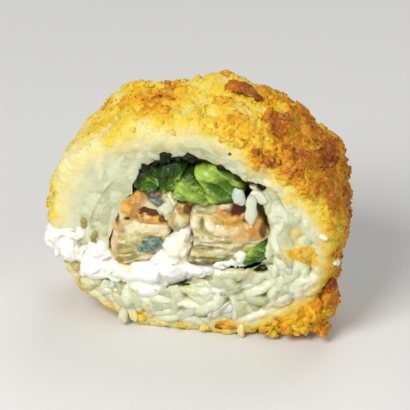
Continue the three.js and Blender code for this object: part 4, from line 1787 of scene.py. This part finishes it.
@dataclass
class SoftCheese:
    """Cheese squeezed out of the seam: a bed under the eel and smeared lumps over it.

    Attributes:
        bed: Path of the bed, as x, z and half width.
        wedge: Path of the lump pressed up between the strips.
        dollops: Lumps on both faces: x, z, half width and height, how far they stand out.
        voxel: Size in millimetres of the mesh that joins them.
        node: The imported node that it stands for.
    """

    bed: Spots = (
        (-24.6, 15.6, 2), (-23.6, 15.2, 3.3), (-21, 15, 4.2), (-16.5, 13.2, 3.9), (-12.5, 11.4, 3.9),
        (-7.5, 10.8, 4.4), (-2.5, 12, 3.9), (3.5, 13.4, 2.3), (9.5, 16, 1.6),
    )
    wedge: Spots = (
        (-4.6, 11.8, 2.4), (-2.8, 14.8, 2.7), (-1.4, 17.6, 2.4), (-1, 20, 1.5),
    )
    dollops: Spots = (
        (-24, 16.6, 2.2, 2.2, 1), (-21.4, 14.2, 3.4, 3.2, 1.5), (-20.2, 17.2, 3, 2.2, 1.2),
        (-16.4, 15, 2.4, 2.4, 1.4), (-16.8, 11.2, 4, 2.8, 1.4), (-11.6, 10.6, 3.6, 2.4, 1.5),
        (-8.2, 8, 3.4, 2.2, 1.5), (-7.4, 11.2, 4, 2.2, 1.9), (-3.4, 13.4, 3.6, 3, 2.1),
        (-2.2, 16.6, 2.6, 2.8, 2.1), (-1, 18.8, 1.6, 2, 1.6), (1.6, 12.7, 3.2, 1.1, 0.9),
        (5.6, 14, 2.4, 0.7, 0.7), (9.2, 15.9, 1.6, 2, 1.2),
    )
    voxel: float = 0.33
    node: str = "soft_cheese"

    def slabs(self, path: Sequence[Spot], depth: float) -> list[Surface]:
        """Lays rounded slabs through the slice, close enough to fuse.

        Args:
            path: Their path, as x, z and half width.
            depth: Half their depth.

        Returns:
            The slabs.
        """
        ball = crumb_ball(3)
        knots = np.array(path)
        steps = np.linspace(0, len(knots) - 1, 4 * (len(knots) - 1) + 1)
        made = []
        for step in steps:
            x, z, half = (np.interp(step, np.arange(len(knots)), column) for column in knots.T)
            shape = ball.points * 2
            shape = np.sign(shape) * np.abs(shape) ** np.array([1.0, 0.4, 1.0])
            made.append(Surface(shape * [half, depth, half] + [x, 0.0, z], ball.faces))
        return made

    def lumps(self) -> Surface:
        """Puts the slabs and the dollops of both faces together.

        Returns:
            All of them, still separate.
        """
        half = FORM.half_depth
        parts = self.slabs(self.bed, half + 0.2) + self.slabs(self.wedge, half + 0.5)
        ball = crumb_ball(3)
        draw = np.random.default_rng(17)
        for x, z, wide, high, proud in self.dollops:
            size = np.array([wide, 1.8 + proud, high])
            at = np.array([x, 1.8 - half, z])
            parts.append(Surface(ball.points * 2 * size + at, ball.faces))
            other = at * [1, -1, 1] + draw.normal(0, 0.6, 3) * [1, 0, 1]
            parts.append(Surface(ball.points * 2 * size * [1, 0.75, 1] + other, ball.faces))
        return joined(parts)

    def surface(self) -> Surface:
        """Joins the lumps into one skin, and gives it folds and torn flakes.

        The folds are cells whose planes are tilted their own way, bent by noise.

        Returns:
            The skin.
        """
        mesh = bpy.data.meshes.new("cheese_lumps")
        whole = self.lumps()
        mesh.from_pydata((whole.points * MM).tolist(), [], np.concatenate(whole.faces).tolist())
        lumps = bpy.data.objects.new("cheese_lumps", mesh)
        bpy.context.collection.objects.link(lumps)
        remesh = lumps.modifiers.new("join", "REMESH")
        remesh.mode = "VOXEL"
        remesh.voxel_size = self.voxel * MM
        soften = lumps.modifiers.new("soften", "SMOOTH")
        soften.factor = 0.5
        soften.iterations = 10
        graph = bpy.context.evaluated_depsgraph_get()
        skin = bpy.data.meshes.new_from_object(lumps.evaluated_get(graph))
        points, normals = np.empty((2, len(skin.vertices) * 3))
        skin.vertices.foreach_get("co", points)
        skin.vertices.foreach_get("normal", normals)
        points = points.reshape(-1, 3) / MM
        quads = np.empty(len(skin.polygons) * 4, dtype=np.int64)
        skin.polygons.foreach_get("vertices", quads)
        bpy.data.objects.remove(lumps)
        bpy.data.meshes.remove(mesh)
        bpy.data.meshes.remove(skin)
        warp = np.stack([soft_noise(points, 2.0, s) for s in (1.0, 31.0, 61.0)], axis=-1)
        bent = (points + 0.8 * warp) * [0.7, 1.0, 1.2]
        folds = crumb_cells(bent + 0.6 * warp, 3.4, 3.0)
        torn = crumb_cells(bent, 1.6, 8.0)
        height = folds.chip - 0.16 * ease(0.16, 0.0, folds.edge)
        height += 0.25 * rough_noise(bent, 3.0, 2, 5.0)
        height += 0.3 * torn.chip * ease(0.45, 0.7, folds.token) + 0.05 * rough_noise(points, 0.9, 2, 15.0)
        front = ease(6.0, 8.5, np.abs(points[:, 1]))
        points = points + normals.reshape(-1, 3) * (height * (0.3 + 0.7 * front))[:, None]
        made = Surface(points, [quads.reshape(-1, 4)]).above(0.0).facing_out()
        # Creamier where the surface lies low: cream tone in broad patches, and painted shade in the hollows
        # between the flakes.
        cream_and_shade = 0.1 + 0.6 * soft_noise(made.points, 6.0, 41.0) - 0.5 * height
        made.masks["cream_and_shade"] = np.clip(cream_and_shade, 0, 0.8)
        return made

    def build(self) -> None:
        """Makes the piece."""
        make_piece("cheese_filling", self.surface(), CHEESE.build(), self.node)


# Loose bits


@dataclass(frozen=True)
class LooseGrain:
    """A grain of rice on a face.

    Attributes:
        x: Its middle, across.
        y: Its middle, along the roll.
        z: Its middle, upwards.
        lean: In degrees from Z towards X.
        length: How long it is.
        width: How wide it is.
        tone: How pale it is.
        stain: How golden it is.
        cool: How blue-grey it is.
    """

    x: float
    y: float
    z: float
    lean: float
    length: float
    width: float = 2.1
    tone: float = 0.8
    stain: float = 0.0
    cool: float = 0.0


@dataclass(frozen=True)
class LooseCrumb:
    """A crumb on the front face.

    Attributes:
        x: Its middle, across.
        z: Its middle, upwards.
        wide: Its width.
        high: Its height.
        toast: How browned it is.
        crust: Share of fried crumb in its colour.
        proud: How far it stands out.
        lean: In degrees from Z towards X.
        sunk: How far its middle lies behind the face.
        tone: How pale its rice is.
        stain: How golden its rice is.
    """

    x: float
    z: float
    wide: float
    high: float
    toast: float
    crust: float = 1.0
    proud: float = 0.45
    lean: float = 0.0
    sunk: float = 0.0
    tone: float = 0.9
    stain: float = 0.0


def masks_of(bits: Sequence[object], names: Sequence[str], size: int) -> Masks:
    """Masks of named values of loose bits, each repeated for the points of its copy."""
    return {name: np.repeat([getattr(bit, name) for bit in bits], size) for name in names}


@dataclass
class LooseBits:
    """Stray grains on the fillings, stray crumbs on the rice, and the big flake on top.

    Attributes:
        grains: The stray grains, each the numbers of a LooseGrain.
        crumbs: The stray crumbs, each the numbers of a LooseCrumb.
        lump: The crumbs of the lump at the lower right.
        flake: Length, width and thickness of the big flake.
        flake_place: Its middle, across and along the roll.
        flake_turn: Its turn on the crust in degrees, anticlockwise from X.
    """

    grains: Spots = (
        (9.1, -10.2, 28.5, -34, 3.3, 2.5, 0.6, 0, 0.5), (11.3, -10.1, 26.2, 3, 6.2, 2, 0.72, 0, 0.15),
        (12.6, -9.8, 28.6, -55, 3.4, 2, 0.7), (-11.7, -10, 2.7, 6, 4.4, 1.7, 0.7, 0.1),
        (-10.2, -9.9, 2.9, -30, 3.4, 1.7, 0.7, 0.5), (9.6, -9.7, 1.4, 2, 2.8, 1.3, 0.8, 1),
    )
    crumbs: Spots = (
        (-18.7, 20.3, 1.5, 2.4, 0.4, 0.2, 0.3, 0, -0.5, 0, 0.35),
        (-17, 17.2, 1.4, 2.8, 0.4, 0.2, 0.45, -8, 0, 0, 0.3),
        (-20.3, 10.8, 2.6, 2.3, 0.3, 0.2, 0.3, 0, 0, 0.1, 0.4),
        (-19.8, 8.6, 1, 2.6, 0.3, 0.3, 0.3, 12, 0, 0.2, 0.5), (19.3, 22.2, 1.9, 1.9, 0.4, 0.8, 0),
        (-3.7, 24.3, 2.6, 4.2, 0, 0, 0.5, 18, 0, 0.62), (-2.6, 26.2, 1.3, 3, 0, 0, 0.4, -24, 0, 0.75),
        (25.7, 15.7, 1.6, 1.2, 0, 0, 0.3, 40, 2.2, 0.85, 0.2),
        (23.7, 21.8, 1.3, 1, 0, 0, 0, 30, 0, 0.9, 0.2), (-9.3, 1.7, 2.8, 1.3, 0.5, 1, 0.1),
        (-14.6, 4, 2.8, 1.5, 0.3, 0.8, 0.1, 24), (-5.2, 1.4, 3, 1.1, 0.36, 0.8, 0.1, 6),
        (-1.2, 1, 2.6, 0.9, 0.62, 1, 0.1, -5), (3, 1.1, 2, 1.2, 0.4, 0.9, 0.2),
        (6.4, 1.8, 3.4, 1, 0.74, 1, 0.1, -4),
    )
    lump: Spots = (
        (22.2, 5.6, 5.8, 5, 0.56, 1, 2.3, 40, 2.2), (18.6, 3.2, 5.4, 3.8, 0.46, 1, 2, 10, 1.9),
        (24.6, 8.8, 2.8, 5.4, 0.78, 1, 1.9, 10, 2.4), (15, 2, 3.8, 2.6, 0.42, 1, 1.2, 0, 1.2),
        (23.6, 3, 3, 2.8, 0.6, 1, 1.2, 0, 1.8),
    )
    flake: Spot = (9.2, 2.8, 1.5)
    flake_place: Spot = (6.9, 1.9)
    flake_turn: float = -23.0

    def lying_grains(self) -> Surface:
        """Builds the stray grains.

        Returns:
            The grains as one surface.
        """
        unit, grains = rice_kernel(9, 12), [LooseGrain(*numbers) for numbers in self.grains]
        lean = np.radians([g.lean for g in grains])
        frames = on_face(-1, lean, 0.12 * np.sin(7 * lean))
        sizes = np.array([(g.width, g.width * 0.7, g.length) for g in grains])
        centres = np.array([(g.x, g.y, g.z) for g in grains])
        surface = copies(unit, unit.points[None] * sizes[:, None, :], frames, centres)
        surface.points += 0.26 * rough_noise(surface.points, 1.0, 2)[:, None]
        surface.masks = masks_of(grains, ("stain", "tone", "cool"), len(unit.points))
        return surface.above(FLOOR_GAP)

    def lying_crumbs(self, crumbs: Spots, detail: int, relief: float, seed: int) -> Surface:
        """Builds crumbs that lie on the front face.

        Args:
            crumbs: Their numbers.
            detail: Fineness of their meshes.
            relief: Share of the crust's own relief that they carry.
            seed: Start of the random draws.

        Returns:
            The crumbs as one surface: balls pulled by a noise, with the crust's relief.
        """
        ball, bits = crumb_ball(detail), [LooseCrumb(*numbers) for numbers in crumbs]
        draw = np.random.default_rng(seed)
        ways = ball.points[None] * 2 + draw.uniform(0, 40, (len(bits), 1, 3))
        pull = 1 + 0.4 * soft_noise(ways, 0.9) + 0.2 * soft_noise(ways, 0.42, 3.0)
        sizes = np.array([(b.wide, 1.2 + 2 * b.proud, b.high) for b in bits])
        shapes = ball.points[None] * pull[..., None] * sizes[:, None, :]
        lean = np.radians([b.lean for b in bits])
        frames = on_face(-1, lean, 0 * lean)
        centres = np.array([(b.x, 0.2 + b.sunk - FORM.half_depth, b.z) for b in bits])
        surface = copies(ball, shapes, frames, centres)
        rough, token = crumb_relief(surface.points)
        outward = surface.points - np.repeat(centres, len(ball.points), axis=0)
        outward /= np.linalg.norm(outward, axis=1, keepdims=True)
        surface.points += relief * rough[:, None] * outward
        surface.masks = masks_of(bits, ("toast", "crust", "stain", "tone"), len(ball.points))
        toast = surface.masks["toast"] + 0.36 * (token - 0.5) + 0.16 * rough
        surface.masks["toast"] = np.clip(toast, 0, 1)
        return surface.above(FLOOR_GAP)

    def top_flake(self) -> Surface:
        """Builds the long red-brown flake: a thin ball bent over the top of the crust.

        Returns:
            The flake.
        """
        ball = crumb_ball(4)
        points = ball.points * self.flake
        rough, token = crumb_relief(points)
        points[:, 2] += 0.6 * rough - 0.035 * points[:, 0] ** 2
        points[:, 1] += 0.5 * soft_noise(points, 3.0, 9.0)
        turn, (x, y) = np.radians(self.flake_turn), self.flake_place
        x = x + points[:, 0] * np.cos(turn) - points[:, 1] * np.sin(turn)
        y = y + points[:, 0] * np.sin(turn) + points[:, 1] * np.cos(turn)
        angle, _ = FORM.polar(np.stack([x, y, FORM.centre_z + 20 + 0 * x], axis=-1))
        crown = FORM.place(angle, FORM.outline(angle) + FORM.batter(angle, y), y)[:, 2]
        placed = np.stack([x, y, crown + 0.9 + points[:, 2]], axis=-1)
        flat = np.ones(len(placed))
        masks = {"toast": 0.72 + 0.22 * token + 0.1 * rough, "crust": flat, "stain": 0 * flat, "tone": flat}
        return Surface(placed, ball.faces, masks)

    def build(self) -> None:
        """Makes the pieces."""
        rice = bpy.data.materials["cooked_rice"]
        crust = bpy.data.materials["fried_crumb_crust"]
        made = (
            ("stray_grains", self.lying_grains(), rice),
            ("stray_crumbs", self.lying_crumbs(self.crumbs, 4, 0.3, 8), crust),
            ("foot_lump", self.lying_crumbs(self.lump, 5, 1.0, 9), crust),
            ("top_flake", self.top_flake(), crust),
        )
        for name, surface, material in made:
            make_piece(name, surface, material, "fried_rice_ring")


CUCUMBERS: tuple[CucumberStick, ...] = (
    CucumberStick(
        "cucumber_stick_1",
        ((-9.7, 28), (-7.2, 27.1), (-5.5, 28), (-5.5, 31.2), (-6.8, 31.9), (-9, 30.3)),
        0.0, 0.4, slope=(0.12, -0.1), peel_side=150, peel_share=0.75, core_side=-40, light=-0.1,
    ),
    CucumberStick(
        "cucumber_stick_2",
        ((-5.1, 27.9), (-3.3, 27.5), (-1.9, 29.4), (-0.9, 32.3), (-2.6, 33.3), (-5.3, 31.9)),
        0.3, 0.1, slope=(-0.1, 0.06), peel_side=140, peel_share=1.0, core_side=-90, light=-0.2,
    ),
    CucumberStick(
        "cucumber_stick_3",
        ((-2.5, 27.1), (0.8, 26.5), (3.8, 26.8), (2.3, 29.4), (0.6, 31.9), (-1.2, 30.4)),
        0.9, 0.6, slope=(0.0, -0.14), peel_side=80, peel_share=0.15, core_side=180, light=0.3,
    ),
    CucumberStick(
        "cucumber_stick_4",
        ((4.2, 26.6), (6.6, 26.5), (9.4, 28.2), (8.9, 30.9), (5, 33.2), (1.3, 32.6), (2.4, 29.8)),
        0.6, 0.8, slope=(0.06, 0.05), domes=((4.6, 27.4, 1.6, 1.2, 0.5), (1.9, 31.4, 1, 1.8, 0.4, 20)),
        peel_side=-60, peel_share=0.2, core_side=150, light=0.28,
    ),
    CucumberStick(
        "cucumber_stick_5",
        ((10, 15.2), (12.2, 15.6), (14.3, 17.2), (13.7, 19.3), (11.6, 18.6)),
        0.5, 0.5, slope=(-0.1, -0.1), peel_side=15, peel_share=0.35, core_side=170, light=0.2,
    ),
)

LEFT_EEL = EelStrip(
    "eel_strip_1",
    (
        (-14, 14.8), (-12.2, 12.3), (-7, 14.1), (-4.6, 16.8), (-3.8, 20), (-4.6, 23.2), (-7, 25.2),
        (-9.6, 26.4), (-12, 24.2), (-13.4, 19.6),
    ),
    0.5, 0.7,
    domes=(
        (-10, 24.4, 2.3, 2.1), (-6.8, 22.3, 2.9, 1.1, 0.9, -6), (-12.6, 20, 1.1, 1.2, 0.5),
        (-8.4, 19.9, 3.4, 1.3, 0.4, 4), (-6.9, 16.8, 2.6, 1.4, 0.55, 12),
        (-13.2, 16.4, 1.1, 2, 0.5, 10), (-10, 14.4, 1.6, 1.2, 0.3, 10),
        (-5.8, 23.7, 2.2, 0.35, -0.4, -18), (-11, 21.5, 0.7, 0.4, -0.5),
    ),
    glaze=(
        (-10, 24.4, 2.5, 2.2), (-6.8, 22.2, 3, 1.1, 1, -6), (-12.7, 20.6, 0.9, 1.6, 0.5),
        (-13.3, 16.6, 1, 2, 0.5, 10), (-12.7, 12.9, 0.9, 1.4, 0.9),
    ),
    skin=(
        (-6.4, 17.2, 1.9, 1.3, 1, 24), (-7.6, 16.5, 2.2, 1, 1, 6), (-10.4, 16.3, 1.8, 0.5, 0.6, 4),
        (-8.6, 25.2, 0.5, 0.4, 0.3),
    ),
    # Dark spots: charred glaze and painted shade.
    char=(
        (-6.2, 23.7, 2.6, 0.5, 0.95, -14), (-4.3, 22.6, 0.9, 0.8, 0.9, -30), (-11, 21.5, 0.6, 0.4),
        (-12.9, 21.6, 0.6, 1.3, 1, 20), (-10.8, 26.3, 0.8, 0.5, 0.9, 30),
        (-8, 23.2, 0.9, 0.3, 0.6, -60), (-6.4, 18.4, 1.5, 0.2, 0.6, 8),
        (-5.8, 15.4, 1.4, 0.25, 0.7, 16), (-12.2, 13.6, 0.6, 0.9, 0.45), (-10.8, 12.6, 0.6, 0.3),
        (-9.2, 13.3, 0.4, 0.3), (-11.9, 19.6, 0.7, 0.9, 0.35),
    ),
    pale=(
        (-7.9, 20.4, 3, 1.1, 0.7, 4), (-8.2, 25.4, 0.7, 0.6, 0.7), (-13.4, 17.4, 0.8, 1.6, 0.9),
        (-7.2, 22.3, 1.4, 0.4, 0.5, -6), (-4.6, 20.4, 0.9, 1.2, 0.6),
    ),
    olive=((-9.9, 14.6, 2.2, 1.1, 0.8, 10),),
    flake_lean=6.0,
    flake_top=16.0,
)

RIGHT_EEL = EelStrip(
    "eel_strip_2",
    (
        (0, 14.2), (4.6, 13.7), (8.6, 15.2), (11.6, 18.4), (14, 21.2), (11.6, 25), (9, 26.4),
        (5.6, 26.1), (2, 25.7), (0.2, 23.8), (1, 18.8),
    ),
    0.4, 1.0,
    domes=(
        (7, 24.1, 2.3, 1.3, 0.8, -10), (10.2, 20.9, 2.8, 1.8, 0.8, 20), (2.8, 24.9, 2.6, 0.8, 0.5),
        (0.9, 22, 1.1, 1.5, 0.7), (3.9, 22, 0.9, 1.5, 0.5), (2.5, 22.2, 0.35, 1.6, -0.35),
        (6.4, 21.3, 2.6, 1.1, 0.4), (5, 19.2, 3.6, 0.6, 0.45, 4), (5, 16.5, 3.6, 0.8, 0.6, 10),
        (2.4, 14.5, 2.8, 0.8, 0.5, 6), (3, 17.6, 2.6, 0.35, -0.4, 4), (9.2, 25.4, 1.4, 0.9, -0.5, -20),
        (8.6, 18.3, 1.6, 0.9, 0.5, 30),
    ),
    glaze=(
        (7.6, 23.9, 3, 1.6, 1, -10), (10.2, 21.3, 3.2, 1.7, 0.5, 10), (12.4, 22.4, 1.6, 2, 0.9, -20),
    ),
    skin=((5, 18.9, 3.8, 0.35, 0.25, 4), (5.6, 17, 2.4, 0.4, 0.3, 10)),
    # Dark spots: charred glaze and painted shade.
    char=(
        (9.2, 25.6, 2.2, 1, 1, -22), (10.6, 24.4, 1, 1.2, 0.9), (7.4, 25.2, 1.2, 0.5, 0.5, -10),
        (3, 17.4, 2.2, 0.25, 0.8, 6), (13.3, 22.4, 0.8, 2.4, 0.9, -14), (2.2, 14.3, 3, 0.6, 0.75, 8),
        (6.2, 22.9, 0.25, 0.7, 0.3),
    ),
    pale=(
        (0.9, 22, 1.2, 1.5), (3.9, 22.1, 0.8, 1.3), (6.2, 21.4, 2.4, 0.8, 0.6),
        (5, 16.9, 1.8, 0.35, 0.6, 10),
    ),
    olive=(
        (2.8, 24.9, 3, 0.9, 0.75), (2.5, 22.2, 0.45, 1.5, 0.9), (5, 19.3, 3.4, 0.5, 0.7, 4),
        (3, 15, 3.6, 1.1, 1, 8), (8.6, 18.4, 1.6, 0.8, 0.8, 30), (6.7, 16, 1.8, 1.1, 0.8),
        (1.6, 18.6, 1.6, 0.9, 0.7, 30),
    ),
    flake_lean=8.0,
)

SMALL_EEL = EelStrip(
    "eel_strip_3",
    (
        (-7.6, 26.7), (-6, 25.2), (-4.2, 23.6), (-3.2, 20.4), (-1.2, 19.9), (0, 22.4), (0.1, 26),
        (-2.6, 26.9), (-5, 27.4),
    ),
    0.2, 0.5,
    domes=(
        (-6, 25.6, 1.5, 1.3, 0.5), (-0.9, 25, 1, 1.1, 0.4), (-3.2, 21.8, 1.2, 1, 0.6),
        (-1.4, 22.2, 1, 1.6, 0.5, 20),
    ),
    glaze=((-0.7, 24.8, 1.2, 1.3, 0.8), (-3.4, 21.8, 1.1, 0.9, 0.35)),
    skin=((-5.9, 25.5, 2.4, 2.2), (-2.2, 21.4, 0.6, 1.6, 0.4, 24)),
    # Dark spots: charred glaze and painted shade.
    char=(
        (-0.9, 26.1, 1.8, 0.6), (-6.2, 26.8, 1.9, 0.6, 0.8, 10), (-4.9, 23.8, 1, 1, 0.85, 20),
        (-0.2, 24.7, 0.7, 1.4, 0.85), (-6.4, 25, 2, 0.9, 0.5), (-1.2, 24.4, 1, 0.8, 0.5),
    ),
    pale=((-1.8, 21.9, 0.9, 1.6, 0.5, 10),),
    flake_lean=70.0,
)


@dataclass
class Fillings:
    """The cucumber and the eel, each stick and strip a piece of its own."""

    def build(self) -> None:
        """Makes every stick and strip."""
        green, fish = CUCUMBER.build(), EEL.build()
        for stick in CUCUMBERS:
            make_piece(stick.node.replace("stick", "cut"), stick.surface(), green, stick.node)
        for strip in (LEFT_EEL, RIGHT_EEL, SMALL_EEL):
            make_piece(strip.node.replace("strip", "cut"), strip.surface(), fish, strip.node)


# Studio


class LightRole(Enum):
    """What each studio light is for."""

    KEY = "key"
    FILL = "fill"
    BACK = "back"


@dataclass(frozen=True)
class SoftBox:
    """An area light, placed by its azimuth and height angle round the slice.

    Attributes:
        role: What it is for.
        azimuth: Direction in degrees: 0 is in front, 90 is on the right.
        elevation: Angle above the table in degrees.
        distance: From the slice, in metres.
        width: Side of the light, in metres.
        power: In watts.
    """

    role: LightRole
    azimuth: float
    elevation: float
    distance: float
    width: float
    power: float


@dataclass
class Studio:
    """Pale table, soft light and the camera at the photograph's angle.

    Attributes:
        azimuth: Of the camera, in degrees: 0 looks along +Y.
        elevation: Of the camera above the table.
        distance: From the slice to the camera, in metres.
        lens: Focal length in millimetres.
        aim: What the camera looks at, in millimetres.
        boxes: The lights.
    """

    azimuth: float = 12.0
    elevation: float = 28.0
    distance: float = 0.5
    lens: float = 248.0
    aim: tuple[float, float, float] = (0.9, 0.0, 20.6)
    boxes: tuple[SoftBox, ...] = (
        SoftBox(LightRole.KEY, -26, 42, 0.5, 0.22, 2.2),
        SoftBox(LightRole.FILL, 60, 25, 0.6, 0.4, 0.9),
        SoftBox(LightRole.BACK, 170, 55, 0.55, 0.3, 0.8),
    )

    def point(self, thing: bpy.types.Object, azimuth: float, elevation: float, distance: float) -> None:
        """Places a camera or a light round the slice and points it there.

        Args:
            thing: The camera or light.
            azimuth: Its direction in degrees.
            elevation: Its angle above the table in degrees.
            distance: How far off it is, in metres.
        """
        a, e = np.radians(azimuth), np.radians(elevation)
        back = Vector((np.sin(a) * np.cos(e), -np.cos(a) * np.cos(e), np.sin(e)))
        aim = Vector(self.aim) * MM
        thing.location = aim + back * distance
        thing.rotation_mode = "QUATERNION"
        thing.rotation_quaternion = (aim - thing.location).to_track_quat("-Z", "Y")

    def build(self) -> None:
        """Makes the table, the lights, the faint sky and the camera."""
        bpy.ops.mesh.primitive_plane_add(size=3.0)
        table = bpy.context.object
        table.name = "table"
        table.data.materials.append(TABLE.build())
        for box in self.boxes:
            light = bpy.data.lights.new(f"{box.role.value}_light", "AREA")
            light.size = box.width
            light.energy = box.power
            holder = bpy.data.objects.new(light.name, light)
            bpy.context.collection.objects.link(holder)
            self.point(holder, box.azimuth, box.elevation, box.distance)
        world = bpy.data.worlds.new("studio_air")
        world.use_nodes = True
        sky = world.node_tree.nodes["Background"]
        sky.inputs["Color"].default_value = (0.95, 0.97, 1.0, 1.0)
        sky.inputs["Strength"].default_value = 0.22
        scene = bpy.context.scene
        scene.world = world
        scene.view_settings.view_transform = "Standard"
        camera = bpy.data.objects.new("camera", bpy.data.cameras.new("camera"))
        bpy.context.collection.objects.link(camera)
        self.point(camera, self.azimuth, self.elevation, self.distance)
        camera.data.lens = self.lens
        camera.data.clip_start = 0.01
        scene.camera = camera


def main() -> None:
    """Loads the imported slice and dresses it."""
    logging.basicConfig(level=logging.INFO, format="%(message)s")
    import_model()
    Studio().build()
    FriedRiceRing().build()
    NoriSheet().build()
    Fillings().build()
    SoftCheese().build()
    LooseBits().build()


if __name__ == "__main__":
    main()
